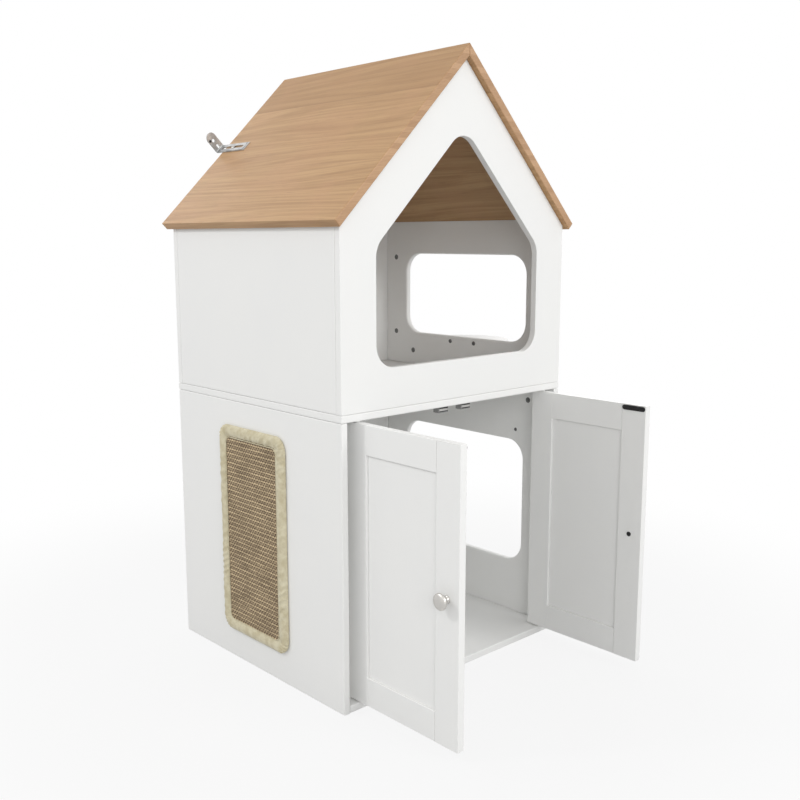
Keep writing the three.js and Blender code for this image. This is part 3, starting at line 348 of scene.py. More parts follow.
NICKEL = make_metal(
    "satin nickel", (0.66, 0.64, 0.6), (0.56, 0.545, 0.52), 0.34, (300, 900, 900), (0.8, 0.79, 0.76))
ZINC = make_metal(
    "zinc plate", (0.5, 0.5, 0.495), (0.37, 0.37, 0.37), 0.42, (700, 60, 700), (0.68, 0.68, 0.67))
# Zinc for the drums, painted darker than the metal: painted shade for the recess each drum sits in.
SHADED_CAST_ZINC = make_metal(
    "zinc with painted shade", (0.3, 0.3, 0.3), (0.2, 0.2, 0.2), 0.6, (500, 500, 500), (0.42, 0.42, 0.42))
BLACK_STEEL = make_metal(
    "black steel", (0.016, 0.016, 0.017), (0.01, 0.01, 0.011), 0.45, (900, 120, 900),
    (0.07, 0.07, 0.07), 0.2)
MAGNET = make_metal(
    "plated magnet", (0.64, 0.63, 0.61), (0.52, 0.51, 0.49), 0.5, (600, 600, 600),
    (0.6, 0.6, 0.58), 0.3)
print("made", NICKEL.name, ZINC.name, SHADED_CAST_ZINC.name, BLACK_STEEL.name, "and", MAGNET.name)

# %% [markdown]
# ## Hardboard
#
# The scratching pad's backing is hardboard, and shows only its brown edge behind the binding.
# Pressed fibres look like short dark and light flecks that lie along the sheet.

# %% Hardboard
def make_hardboard():
    board = Finish("hardboard", (0.26, 0.18, 0.11), 0.85)
    fleck = board.noise(1.0, 3.0, 0.6, Vector=board.place(stretch=(2500, 500, 500)))
    board.set(Base_Color=board.blend(fleck.fade(0.35, 0.65), (0.17, 0.11, 0.06), (0.33, 0.23, 0.14)))
    board.bump(fleck, 0.0002, 0.5)
    return board.material


HARDBOARD = make_hardboard()
print("made", HARDBOARD.name)

# %% [markdown]
# ## Sisal
#
# The mat is woven from natural sisal: straw-coloured yarn whose fibres are darker and lighter,
# with every second row a little paler, and deep brown where the weave opens, which is partly the
# dark backing and dust and partly painted shade. The yarns are modelled further down, so this
# finish only has to know how deep a point lies: from the wall outwards the tone goes from dark to
# light, painting the shade of the weave's depths. Rows and single yarns get their own tone from
# noises stretched along them.

# %% Sisal
MAT_UNITS = (22, 41)  # repeats of the weave across and up
MAT_LOW, MAT_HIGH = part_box("sisal_mat")
UNIT_WIDTH = (MAT_HIGH.y - MAT_LOW.y) / MAT_UNITS[0]
UNIT_HEIGHT = (MAT_HIGH.z - MAT_LOW.z) / MAT_UNITS[1]


def make_sisal():
    sisal = Finish("sisal", (0.45, 0.35, 0.22), 0.9)
    x, y, z = sisal.axes()
    # Painted shade with some dust: 0 deep in the weave by the wall, 1 where the yarns stand out.
    depth_shade_and_dust = (x * -1.0).fade(-MAT_LOW.x - 0.0019, -MAT_LOW.x - 0.0001)
    rows = ((z - MAT_LOW.z) * (2 * math.pi / UNIT_HEIGHT)).wave() * 0.5 + 0.5
    yarn = sisal.noise(1.0, 2.0, Vector=sisal.place(stretch=(0, 18, 430)))
    fibre = sisal.noise(1.0, 3.0, 0.6, Vector=sisal.place(stretch=(1500, 420, 1500)))
    faded = sisal.noise(22.0, 3.0, 0.6, Vector=sisal.place()).fade(0.3, 0.7)
    light = depth_shade_and_dust * (0.5 + rows * 0.5) * (0.15 + yarn * 1.35 + faded * 0.25)
    # The near-black end is painted shade deep in the weave, with dust and the dark backing.
    tone = sisal.blend(light, (0.05, 0.03, 0.015), (0.74, 0.58, 0.37))
    sisal.set(Base_Color=sisal.blend(fibre.fade(0.5, 0.7) * 0.4, tone, (0.26, 0.17, 0.095)))
    sisal.bump(fibre, 0.0003, 0.6)
    return sisal.material


SISAL = make_sisal()
print("made", SISAL.name)

# %% [markdown]
# ## Napped cloth
#
# The pad's binding is a cream cloth with a short nap, like suede. Brushed one way the nap is pale,
# the other way khaki, so it looks mottled in patches the size of a fingertip. Sheen gives it the
# soft light edge that fibres have, and is the same all over, so it's set on the shader itself.

# %% Napped cloth
def make_napped_cloth():
    cloth = Finish("napped cloth", (0.6, 0.555, 0.4), 0.95, Sheen_Weight=0.2, Sheen_Roughness=0.5)
    patch = cloth.noise(70.0, 3.0, 0.55, Vector=cloth.place())
    stroke = cloth.noise(240.0, 2.0, Vector=cloth.place())
    pile = cloth.noise(1500.0, 2.0, Vector=cloth.place())
    tone = cloth.blend(patch.fade(0.3, 0.7), (0.535, 0.475, 0.315), (0.66, 0.61, 0.445))
    tone = cloth.blend(stroke.fade(0.48, 0.72) * 0.2, tone, (0.44, 0.375, 0.23))
    cloth.set(Base_Color=tone, Roughness=0.88 + pile * 0.1)
    cloth.bump(pile * 0.5 + stroke * 0.5, 0.0005, 0.5)
    return cloth.material


SUEDE = make_napped_cloth()
print("made", SUEDE.name)

# %% [markdown]
# ## Finishes onto the pieces
#
# The frame's record names a material slot for every piece. A dictionary from slot to finish
# dresses all of them at once, and serves the new pieces further down.

# %% One finish for each slot
FINISH_OF_SLOT = {
    "lacquer": LACQUER,
    "oak": OAK,
    "sisal": SISAL,
    "backing": HARDBOARD,
    "suede": SUEDE,
    "white_plastic": WHITE_PLASTIC,
    "grey_plastic": GREY_PLASTIC,
    "nickel": NICKEL,
    "zinc": ZINC,
    "black_steel": BLACK_STEEL,
    "magnet": MAGNET,
}
for subpart in frame["record"]["subparts"]:
    node = frame["nodes"][subpart["node"]]
    node.data.materials.clear()
    node.data.materials.append(FINISH_OF_SLOT[subpart["material_slot"]])

# %% [markdown]
# ## Modelling by hand, in code
#
# The pieces below are modelled as they would be by hand: a primitive of the right size, then
# extrude, bevel, bisect and the like in edit mode, then modifiers. A few small helpers keep that
# readable. They select what they work on by its place, because an operator acts on all that
# is selected. Places come from the CAD nodes, so a piece always lies where its node lies.

# %% Helpers for places
def low(node):
    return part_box(node)[0]


def high(node):
    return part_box(node)[1]


def middle(node):
    corner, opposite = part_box(node)
    return (corner + opposite) / 2


def size(node):
    corner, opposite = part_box(node)
    return opposite - corner


print("a door is", round(size("left_door_panel").z / MM), "mm high inside its frame")

# %% Helpers for modelling
ROUND = 12  # segments of a quarter circle


def select_only(piece):
    bpy.ops.object.select_all(action="DESELECT")
    piece.select_set(True)
    bpy.context.view_layer.objects.active = piece


def add_block(name, corner, opposite):
    """A block between two corners."""
    bpy.ops.object.select_all(action="DESELECT")
    corner, opposite = Vector(corner), Vector(opposite)
    bpy.ops.mesh.primitive_cube_add(size=1, location=(corner + opposite) / 2)
    piece = bpy.context.object
    piece.name = name
    piece.scale = opposite - corner
    bpy.ops.object.transform_apply(location=True, rotation=True, scale=True)
    return piece


def edit(piece):
    select_only(piece)
    bpy.ops.object.mode_set(mode="EDIT")


def leave():
    bpy.ops.object.mode_set(mode="OBJECT")


def choose(piece, what, rule):
    """In edit mode, selects the faces, edges or verts that fit the rule, and counts them."""
    bpy.ops.mesh.select_mode(type={"faces": "FACE", "edges": "EDGE", "verts": "VERT"}[what])
    bpy.ops.mesh.select_all(action="DESELECT")
    mesh = bmesh.from_edit_mesh(piece.data)
    chosen = [part for part in getattr(mesh, what) if rule(part)]
    for part in chosen:
        part.select_set(True)
    mesh.select_flush_mode()
    bmesh.update_edit_mesh(piece.data)
    return len(chosen)


def runs_along(axis):
    """A rule for edges that run along X (0), Y (1) or Z (2)."""
    def rule(edge):
        way = (edge.verts[1].co - edge.verts[0].co).normalized()
        return abs(way[axis]) > 0.99
    return rule


def round_off(piece, rule, radius, segments=ROUND):
    edit(piece)
    count = choose(piece, "edges", rule)
    bpy.ops.mesh.bevel(offset=radius, segments=segments, profile=0.5, clamp_overlap=False)
    leave()
    return count


def modify(piece, kind, **settings):
    """Adds a modifier and applies it."""
    select_only(piece)
    modifier = piece.modifiers.new(kind.lower(), kind)
    for key, value in settings.items():
        setattr(modifier, key, value)
    bpy.ops.object.modifier_apply(modifier=modifier.name)


def cut_away(piece, cutter, how="DIFFERENCE"):
    modify(piece, "BOOLEAN", operation=how, object=cutter, solver="EXACT")
    bpy.data.objects.remove(cutter)


def smooth(piece, degrees=40):
    select_only(piece)
    bpy.ops.object.shade_smooth_by_angle(angle=math.radians(degrees))


def keep_flats(piece):
    """Smooth over the small faces of roundings, while the large flat faces still look flat."""
    smooth(piece, 35)
    modify(piece, "WEIGHTED_NORMAL", mode="FACE_AREA_WITH_ANGLE", keep_sharp=True)


def ease_edges(piece, width, segments=3):
    """Rounds every sharp edge a little."""
    modify(piece, "BEVEL", width=width, segments=segments, limit_method="ANGLE", angle_limit=math.radians(35))
    keep_flats(piece)


def face_outwards(piece):
    edit(piece)
    bpy.ops.mesh.select_all(action="SELECT")
    bpy.ops.mesh.remove_doubles(threshold=0.00001)
    bpy.ops.mesh.normals_make_consistent(inside=False)
    leave()


def fit(piece, slot, body, *nodes, finish=None):
    """Gives a finished piece its finish, its body and the CAD nodes it stands for."""
    piece.data.materials.clear()
    piece.data.materials.append(finish or FINISH_OF_SLOT[slot])
    if nodes:
        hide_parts(*nodes)
    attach(piece, body)
    print(piece.name, "has", len(piece.data.polygons), "faces")
    return piece


def copy_to(piece, name, place):
    """A copy with a mesh of its own, moved by a matrix."""
    twin = piece.copy()
    twin.data = piece.data.copy()
    twin.data.transform(place)
    if place.determinant() < 0:
        twin.data.flip_normals()
    twin.name = name
    bpy.context.scene.collection.objects.link(twin)
    return twin


# %% [markdown]
# ## The boards with openings
#
# Three boards have large rounded openings: the two on the right have windows, and the front gable
# has the doorway. On the real cabinet they are sawn from one sheet, and a router runs round every
# edge. The same order works here: a block, an opening subtracted, its top cut to the roof's slope
# where it has one, a rounder bevel on the windows' rims, and one small bevel round all the sharp
# edges. The opening itself starts as a block whose upright
# edges are bevelled with the opening's own radius, which is how a rounded hole is made without
# drawing any curve.

# %% Windows
WINDOW_RADIUS = 43 * MM
WINDOW_REACH = 186.5 * MM  # from the middle of the depth to each end
CUPBOARD_WINDOW = (132 * MM, 410.5 * MM)  # lowest and highest edge
CABIN_WINDOW = (629 * MM, 818 * MM)
WINDOW_EASE = 4 * MM
BOARD_EASE = 1.2 * MM
PAST = 20 * MM  # how far a cutter runs past what it cuts
SEAM = 0.2 * MM
NEAR = 0.1 * MM  # two places no further apart than this count as the same
DECK_UNDERSIDE, DECK_TOP = low("deck_panel").z, high("deck_panel").z


def make_window_wall(node, window, top):
    """A board up to a height, with a rounded window."""
    corner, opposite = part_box(node)
    opposite.z = top
    wall = add_block(node + "_board", corner, opposite)
    bottom, top = window
    start = (corner.x - PAST, -WINDOW_REACH, bottom)
    opening = add_block("opening", start, (opposite.x + PAST, WINDOW_REACH, top))
    round_off(opening, runs_along(0), WINDOW_RADIUS)
    cut_away(wall, opening)

    def on_rim(edge):
        """Edges of the window that lie in one of the board's two faces."""
        ends = [vert.co for vert in edge.verts]
        return (abs(ends[0].x - ends[1].x) < NEAR
                and all(abs(co.y) < WINDOW_REACH + NEAR for co in ends)
                and all(bottom - NEAR < co.z < top + NEAR for co in ends))

    round_off(wall, on_rim, WINDOW_EASE, segments=4)
    return wall


cupboard_side = make_window_wall("right_cupboard_side", CUPBOARD_WINDOW, DECK_UNDERSIDE - SEAM)
ease_edges(cupboard_side, BOARD_EASE)
fit(cupboard_side, "lacquer", "cabinet", "right_cupboard_side")

# %% Cabin wall, its top cut to the slope of the roof
def cut_slope(piece, point, way):
    """Cuts off what lies beyond a plane, and closes the cut."""
    edit(piece)
    bpy.ops.mesh.select_all(action="SELECT")
    bpy.ops.mesh.bisect(plane_co=point, plane_no=way, use_fill=True, clear_outer=True)
    leave()


SLOPE = Vector((1, 0, 1)).normalized()
GABLE_TOP = high("front_gable")
under_roof = Vector((0, 0, GABLE_TOP.z))

cabin_wall = make_window_wall("right_cabin_wall", CABIN_WINDOW, GABLE_TOP.z)
cut_slope(cabin_wall, under_roof, SLOPE)
ease_edges(cabin_wall, BOARD_EASE)
fit(cabin_wall, "lacquer", "cabinet", "right_cabin_wall")

# %% Front gable and its doorway
DOORWAY_REACH = 218 * MM
DOORWAY_SILL = 626 * MM
DOORWAY_SHOULDER = 839 * MM
DOORWAY_RADIUS = 42 * MM


def cut_gable_slopes(piece, peak):
    cut_slope(piece, peak, SLOPE)
    cut_slope(piece, peak, Vector((-SLOPE.x, 0, SLOPE.z)))


def is_level(edge, height):
    return all(abs(vert.co.z - height) < NEAR for vert in edge.verts)


def make_front_gable():
    corner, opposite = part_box("front_gable")
    corner.z = DECK_TOP + SEAM
    gable = add_block("front_gable_board", corner, opposite)
    cut_gable_slopes(gable, under_roof)
    peak = Vector((0, 0, DOORWAY_SHOULDER + DOORWAY_REACH))
    doorway = add_block(
        "doorway",
        (-DOORWAY_REACH, corner.y - PAST, DOORWAY_SILL),
        (DOORWAY_REACH, opposite.y + PAST, peak.z + PAST),
    )
    cut_gable_slopes(doorway, peak)
    along = runs_along(1)
    shoulder_bevel = DOORWAY_RADIUS * math.tan(math.radians(45 / 2))
    round_off(doorway, lambda edge: along(edge) and is_level(edge, DOORWAY_SHOULDER), shoulder_bevel)
    for height in (DOORWAY_SILL, peak.z):
        round_off(doorway, lambda edge: along(edge) and is_level(edge, height), DOORWAY_RADIUS)
    cut_away(gable, doorway)
    ease_edges(gable, BOARD_EASE)
    return gable


fit(make_front_gable(), "lacquer", "cabinet", "front_gable")

# %% [markdown]
# ## The step
#
# Under the cabin window a half-round step is bolted to the outside. A fine cylinder, bisected
# through its middle, gives its exact outline, and a rounder bevel than the boards' softens its
# rim, because a cat jumps onto it.

# %% Step
STEP_EASE = 3 * MM


def make_step():
    corner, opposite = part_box("side_step")
    bpy.ops.object.select_all(action="DESELECT")
    radius = (opposite.y - corner.y) / 2
    centre = (corner.x, 0, (corner.z + opposite.z) / 2)
    bpy.ops.mesh.primitive_cylinder_add(
        vertices=128, radius=radius, depth=opposite.z - corner.z, location=centre)
    step = bpy.context.object
    step.name = "side_step_board"
    bpy.ops.object.transform_apply(location=True, rotation=True, scale=True)
    cut_slope(step, corner, Vector((-1, 0, 0)))
    ease_edges(step, STEP_EASE, 4)
    return step


fit(make_step(), "lacquer", "cabinet", "side_step")

# %% [markdown]
# ## Turned pieces
#
# Knobs, screw heads and the drums of the cam locks are all turned on a lathe. A lathe form can be
# spun from a profile, but it is as quick, and needs no axis to be set, to start with a filled
# circle and extrude and scale it once for each point of the profile. The helper below does that.

# %% Turning
def turn(name, profile, sides=48):
    """A closed form of revolution round Z, from (radius, height) points, the lowest first."""
    bpy.ops.object.select_all(action="DESELECT")
    radius, height = profile[0]
    bpy.ops.mesh.primitive_circle_add(
        vertices=sides, radius=radius, fill_type="NGON", location=(0, 0, height))
    piece = bpy.context.object
    piece.name = name
    bpy.ops.object.transform_apply(location=True, rotation=True, scale=True)
    edit(piece)
    bpy.ops.mesh.select_all(action="SELECT")
    for next_radius, next_height in profile[1:]:
        bpy.ops.mesh.extrude_region_move(TRANSFORM_OT_translate={"value": (0, 0, next_height - height)})
        bpy.ops.transform.resize(value=(next_radius / radius, next_radius / radius, 1))
        radius, height = next_radius, next_height
    leave()
    face_outwards(piece)
    return piece


def pointing(way, place):
    """The matrix that turns +Z to a direction and moves the origin to a place."""
    return Matrix.Translation(place) @ Vector(way).to_track_quat("Z", "Y").to_matrix().to_4x4()


# %% [markdown]
# ## Knobs
#
# The knobs are satin nickel mushrooms: a foot that seats on the door, a thin neck and a flat
# domed head with a soft rim. The dome's profile is a quarter of an ellipse, worked out by a
# formula, so it is easy to make flatter or fuller.

# %% Knob
KNOB_RADIUS = 14.5 * MM
KNOB_REACH = 22 * MM
KNOB_DOME = 5.2 * MM
KNOB_RIM = 2.4 * MM


def knob_profile():
    head = KNOB_REACH - KNOB_DOME - KNOB_RIM
    profile = [(6.4 * MM, 0), (7 * MM, 0.5 * MM), (7 * MM, 1.4 * MM), (6.4 * MM, 2 * MM)]
    profile += [(5.2 * MM, 2.9 * MM), (4.6 * MM, 4.6 * MM), (4.5 * MM, head - 4.6 * MM)]
    profile += [(5.4 * MM, head - 3 * MM), (8.2 * MM, head - 1.4 * MM), (12.4 * MM, head - 0.4 * MM)]
    profile += [(KNOB_RADIUS - 0.5 * MM, head + 0.2 * MM)]
    profile += [(KNOB_RADIUS, head + 0.8 * MM), (KNOB_RADIUS, head + KNOB_RIM - 0.6 * MM)]
    for step in range(1, 9):
        angle = step / 9 * math.pi / 2
        profile.append((KNOB_RADIUS * math.cos(angle), head + KNOB_RIM + KNOB_DOME * math.sin(angle)))
    profile.append((0.4 * MM, KNOB_REACH))
    return profile


knob = turn("knob", knob_profile())
smooth(knob, 50)
for side, way in (("left", -1), ("right", 1)):
    node = side + "_door_knob"
    foot = middle(node)
    foot.x = low(node).x if way > 0 else high(node).x
    fit(copy_to(knob, node + "_turned", pointing((way, 0, 0), foot)), "nickel", side + "_door", node)
bpy.data.objects.remove(knob)

# %% [markdown]
# ## Screws
#
# All the visible screws are pan heads with a cross recess. One function turns the shape and cuts
# the cross with two thin blocks, and each screw is then laid on its node by the direction in
# which its head looks. The shanks are as long as the real ones, although the wood hides them.

# %% Screws
RECESS_WIDTH = 0.17  # of the head's diameter
RECESS_REACH = 0.56


def make_screw(name, head_radius, head, shank, length):
    """A pan-head screw with its seat at z = 0 and its head up."""
    profile = [(shank * 0.25, -length), (shank, 2.5 * shank - length), (shank, 0), (head_radius, 0)]
    for step in range(0, 6):
        angle = step / 6 * math.pi / 2
        bulge = head * (0.35 + 0.65 * math.sin(angle))
        profile.append((head_radius * math.cos(angle) ** 0.6, bulge))
    screw = turn(name, profile, 32)
    reach = head_radius * RECESS_REACH
    half = head_radius * RECESS_WIDTH
    for across, along in ((reach, half), (half, reach)):
        cut_away(screw, add_block("recess", (-across, -along, head * 0.25), (across, along, head + 1 * MM)))
    smooth(screw, 35)
    return screw


def place_screw(node, way, head_radius, head, shank, slot, body, finish=None):
    """Stands for a screw node whose head looks along an axis."""
    axis = max(range(3), key=lambda i: abs(way[i]))
    seat = middle(node)
    head_end = high(node)[axis] if way[axis] > 0 else low(node)[axis]
    seat[axis] = head_end - way[axis] * head
    screw = make_screw("screw", head_radius, head, shank, size(node)[axis] - head)
    fit(copy_to(screw, node + "_cross_head", pointing(way, seat)), slot, body, node, finish=finish)
    bpy.data.objects.remove(screw)


BOLT_HEAD = (4.6 * MM, 2.4 * MM)
place_screw("left_door_knob_screw", (1, 0, 0), *BOLT_HEAD, 2 * MM, "black_steel", "left_door")
place_screw("right_door_knob_screw", (-1, 0, 0), *BOLT_HEAD, 2 * MM, "black_steel", "right_door")
# The step bolts and the wall screw take the drums' zinc, with its painted shade.
for place in ("front", "rear"):
    place_screw(f"step_{place}_bolt", (-1, 0, 0), *BOLT_HEAD, 2.5 * MM, "black_steel", "cabinet", SHADED_CAST_ZINC)
WALL_HEAD = (3.8 * MM, 1.1 * MM)
place_screw("cupboard_wall_screw", (-1, 0, 0), *WALL_HEAD, 1.8 * MM, "black_steel", "cabinet", SHADED_CAST_ZINC)

# %% [markdown]
# ## Strike plates
#
# Each door carries a small black steel plate that the catch pulls on. It is pressed, so its rim
# stands a little above its middle. A block with fully rounded ends is inset on its outer face,
# and the inner face is moved back to leave the rim.

# %% Strike plates
PLATE_RIM = 1.5 * MM
PLATE_DISH = 0.5 * MM


def make_strike_plate(node, body, way):
    plate = add_block(node + "_pressed", low(node), high(node))
    round_off(plate, runs_along(0), size(node).z * 0.49)
    edit(plate)
    choose(plate, "faces", lambda face: face.normal.x * way > 0.9)
    bpy.ops.mesh.inset(thickness=PLATE_RIM)
    bpy.ops.mesh.inset(thickness=PLATE_DISH)
    bpy.ops.transform.translate(value=(-PLATE_DISH * way, 0, 0))
    leave()
    ease_edges(plate, 0.2 * MM, 2)
    fit(plate, "black_steel", body, node)


make_strike_plate("left_door_strike_plate", "left_door", 1)
make_strike_plate("right_door_strike_plate", "right_door", -1)

# %% [markdown]
# ## Magnetic catches
#
# Under the deck hang two catches: a moulded housing with a pocket, in which a magnet lies between
# two steel pole plates. The plates and the magnet are plain blocks and stay as they are. The
# housing gets the soft edges of a moulding, its pocket and the two screws that hold it up.

# %% Catches
CATCH_HEIGHT = 14.5 * MM
POCKET_WALL = 1.5 * MM
POCKET_RISE = 4.2 * MM  # half the pocket's height
POCKET_DEPTH = 9 * MM
CATCH_SCREW_HEAD = 3 * MM


def make_catch(side):
    node = side + "_catch_housing"
    corner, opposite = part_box(node)
    top = DECK_UNDERSIDE - SEAM
    start = (corner.x, corner.y, top - CATCH_HEIGHT)
    housing = add_block(node + "_moulded", start, (opposite.x, opposite.y, top))
    round_off(housing, runs_along(2), 1.5 * MM, 4)
    magnet = middle(side + "_catch_magnet").z
    cut_away(housing, add_block(
        "pocket",
        (corner.x + POCKET_WALL, corner.y - PAST, magnet - POCKET_RISE),
        (opposite.x - POCKET_WALL, corner.y + POCKET_DEPTH, magnet + POCKET_RISE),
    ))
    ease_edges(housing, 0.5 * MM, 2)
    screw = make_screw("catch_screw", CATCH_SCREW_HEAD, 1.1 * MM, 1.8 * MM, CATCH_HEIGHT)
    centre = middle(node)
    reach = size(node).x / 2 - POCKET_WALL - 4 * MM
    for name, across in (("outer", -reach), ("inner", reach)):
        seat = Vector((centre.x + across, opposite.y - 3.6 * MM, top - CATCH_HEIGHT))
        placed = copy_to(screw, f"{side}_catch_{name}_screw", pointing((0, 0, -1), seat))
        fit(placed, "black_steel", "cabinet")
    bpy.data.objects.remove(screw)
    fit(housing, "grey_plastic", "cabinet", node)


make_catch("left")
make_catch("right")

# %% [markdown]
# ## Drums of the cam locks
#
# The boards are held together by cam locks: a drum in the face of one board, which a screwdriver
# turns, and a bolt into the next. What shows is the face of each drum with its cross. One face is
# turned and cut, and copied to every lock. The layout repeats a few distances, so it is worked
# out in loops.

# %% Cam lock faces
DRUM_RADIUS = 6.1 * MM
DRUM_INSET = 33 * MM  # end of a board to the middle of the drum
INNER_X = low("right_cupboard_side").x
WALL_END = 256.5 * MM - DRUM_INSET
WALL_DRUMS = [
    (-WALL_END, 76 * MM), (-WALL_END, 257 * MM), (WALL_END, 76 * MM), (WALL_END, 257 * MM),
    (-163.5 * MM, DRUM_INSET), (163.5 * MM, DRUM_INSET),
]


def make_drum_face():
    rim = [(DRUM_RADIUS, -0.19 * MM), (DRUM_RADIUS, 0.2 * MM), (DRUM_RADIUS - 0.3 * MM, 0.4 * MM)]
    face = turn("drum_face", rim, 40)
    for across, along in ((4.2 * MM, 0.85 * MM), (0.85 * MM, 4.2 * MM)):
        cut_away(face, add_block("slot", (-across, -along, 0.05 * MM), (across, along, 1 * MM)))
    smooth(face, 30)
    return face


def drum_places():
    """A name, a point on a board's face and that face's outward direction for each drum."""
    places = []
    for side, sign in (("left", -1), ("right", 1)):
        inward = Vector((-sign, 0, 0))
        for i, (y, height) in enumerate(WALL_DRUMS):
            places.append((f"{side}_wall_{i}", Vector((sign * INNER_X, y, DECK_TOP + height)), inward))
        for i, y in enumerate((-200 * MM, 200 * MM)):
            spot = Vector((sign * INNER_X, y, DECK_UNDERSIDE - DRUM_INSET))
            places.append((f"{side}_side_{i}", spot, inward))
        for i, z in enumerate((150 * MM, DECK_UNDERSIDE - 150 * MM)):
            across = sign * (INNER_X - DRUM_INSET)
            spot = Vector((across, high("cupboard_back_panel").y, z))
            places.append((f"{side}_back_{i}", spot, Vector((0, 1, 0))))
        half = 150 * MM
        slope = Vector((sign * half, 0, GABLE_TOP.z - half)) - Vector((sign, 0, 1)).normalized() * DRUM_INSET
        for gable, y, way in (("front", high("front_gable").y, 1), ("rear", low("back_gable").y, -1)):
            way = Vector((0, way, 0))
            places.append((f"{side}_{gable}_low", Vector((sign * 200 * MM, y, DECK_TOP + DRUM_INSET)), way))
            places.append((f"{side}_{gable}_high", Vector((slope.x, y, slope.z)), way))
    return places


# The drum faces stand on the boards; the painted shade in their zinc stands for the recesses the real drums
# sit in.
drum_face = make_drum_face()
for name, spot, way in drum_places():
    fit(copy_to(drum_face, "drum_face_" + name, pointing(way, spot)), "zinc", "cabinet", finish=SHADED_CAST_ZINC)
bpy.data.objects.remove(drum_face)

# %% [markdown]
# ## Scratching pad: the weave
#
# The pad's face is woven sisal: thick yarns across, thinner ones up and down, each passing over
# and under the next. One repeat of a plain weave has two of each. A yarn is a six-sided tube,
# bisected into quarters whose rings are then lifted and lowered, and array modifiers repeat the
# unit over the mat. There are some nine hundred repeats, so each may have only a few dozen faces.
# A slight random push afterwards makes the yarns as uneven as spun fibre is.

# %% Sisal mat
WEFT = (2.05 * MM, 1.15 * MM)  # half width and half thickness
WARP = (1.45 * MM, 1.0 * MM)
WEAVE_SWING = 0.62 * MM
PAD_MIDDLE = middle("sisal_mat")
FACING_LEFT = Matrix(((0, 0, -1, 0), (-1, 0, 0, 0), (0, 1, 0, 0), (0, 0, 0, 1)))


def add_yarn(name, length, half_width, half_thickness, phase, sides):
    """One repeat of a yarn along X, centred, which swings up and down once."""
    bpy.ops.object.select_all(action="DESELECT")
    bpy.ops.mesh.primitive_cylinder_add(
        vertices=sides, radius=1, depth=length, end_fill_type="NOTHING", rotation=(0, math.pi / 2, 0))
    yarn = bpy.context.object
    yarn.name = name
    bpy.ops.object.transform_apply(location=False, rotation=True, scale=False)
    yarn.scale = (1, half_width, half_thickness)
    bpy.ops.object.transform_apply(location=False, rotation=False, scale=True)
    edit(yarn)
    rings = [length * (quarter / 4 - 0.5) for quarter in range(5)]
    for ring in rings[1:-1]:
        bpy.ops.mesh.select_all(action="SELECT")
        bpy.ops.mesh.bisect(plane_co=(ring, 0, 0), plane_no=(1, 0, 0))
    for ring in rings:
        choose(yarn, "verts", lambda vert: abs(vert.co.x - ring) < 0.0001)
        lift = WEAVE_SWING * phase * math.cos(2 * math.pi * ring / length)
        bpy.ops.transform.translate(value=(0, 0, lift))
    leave()
    return yarn


def place_yarn(yarn, across, up, upright):
    turn_up = Matrix.Rotation(math.pi / 2 if upright else 0, 4, "Z")
    yarn.data.transform(Matrix.Translation((across, up, 0)) @ turn_up)
    return yarn


def make_mat():
    yarns = []
    for quarter, phase in ((-0.25, 1), (0.25, -1)):
        weft = add_yarn("weft", UNIT_WIDTH, *WEFT, phase, 6)
        yarns.append(place_yarn(weft, 0, quarter * UNIT_HEIGHT, False))
        warp = add_yarn("warp", UNIT_HEIGHT, *WARP, phase, 5)
        yarns.append(place_yarn(warp, (quarter + 0.25) * UNIT_WIDTH, 0, True))
    bpy.ops.object.select_all(action="DESELECT")
    for yarn in yarns:
        yarn.select_set(True)
    bpy.context.view_layer.objects.active = yarns[0]
    bpy.ops.object.join()
    mat = bpy.context.object
    mat.name = "woven_mat"
    for axis, pitch in ((0, UNIT_WIDTH), (1, UNIT_HEIGHT)):
        offset = [0, 0, 0]
        offset[axis] = pitch
        modify(mat, "ARRAY", count=MAT_UNITS[axis], use_relative_offset=False, use_constant_offset=True,
               constant_offset_displace=offset, use_merge_vertices=True, merge_threshold=0.00002)
    corner = (-(MAT_UNITS[0] - 1) / 2 * UNIT_WIDTH, -(MAT_UNITS[1] - 1) / 2 * UNIT_HEIGHT, 0)
    mat.data.transform(Matrix.Translation(corner))
    edit(mat)
    bpy.ops.mesh.select_all(action="SELECT")
    bpy.ops.mesh.fill_holes(sides=6)
    bpy.ops.mesh.select_all(action="SELECT")
    bpy.ops.transform.vertex_random(offset=0.34 * MM, uniform=0.6, seed=7)
    leave()
    mat.data.transform(Matrix.Translation(PAD_MIDDLE) @ FACING_LEFT)
    select_only(mat)
    bpy.ops.object.shade_smooth()
    return mat


fit(make_mat(), "sisal", "cabinet", "sisal_mat")

# %% [markdown]
# ## Scratching pad: the binding
#
# A padded strip of napped cloth is stitched round the mat and wraps the backing's edge. It is
# real soft goods, so it gets a cloth simulation: the plain ring is remeshed into even small
# faces, blown up a little by pressure with its underside held, and no point may move further than
# a set distance. What sewing does to such a strip comes after that. Cloth that turns a corner has
# more length outside than inside, so it gathers in pleats that run out from the corner, and along
# the straight it lies in a few slanting folds.

# %% Cloth
WALL_X = low("left_cupboard_side").x
HELD = 3.2 * MM  # what lies nearer to the wall is held


def blow_up(piece, pressure, limit):
    """Inflates a closed mesh as cloth, caps how far it moves, and leaves a plain mesh."""
    select_only(piece)
    before = [vertex.co.copy() for vertex in piece.data.vertices]
    held = piece.vertex_groups.new(name="held")
    held.add([i for i, spot in enumerate(before) if WALL_X - spot.x < HELD], 1.0, "REPLACE")
    cloth = piece.modifiers.new("cloth", "CLOTH")
    cloth.settings.use_pressure = True
    cloth.settings.uniform_pressure_force = pressure
    cloth.settings.vertex_group_mass = "held"
    cloth.settings.effector_weights.gravity = 0
    for number in range(1, 21):
        bpy.context.scene.frame_set(number)
    bpy.ops.object.modifier_apply(modifier=cloth.name)
    bpy.context.scene.frame_set(1)
    for vertex, old in zip(piece.data.vertices, before):
        step = vertex.co - old
        if step.length > limit:
            vertex.co = old + step.normalized() * limit
    piece.vertex_groups.clear()


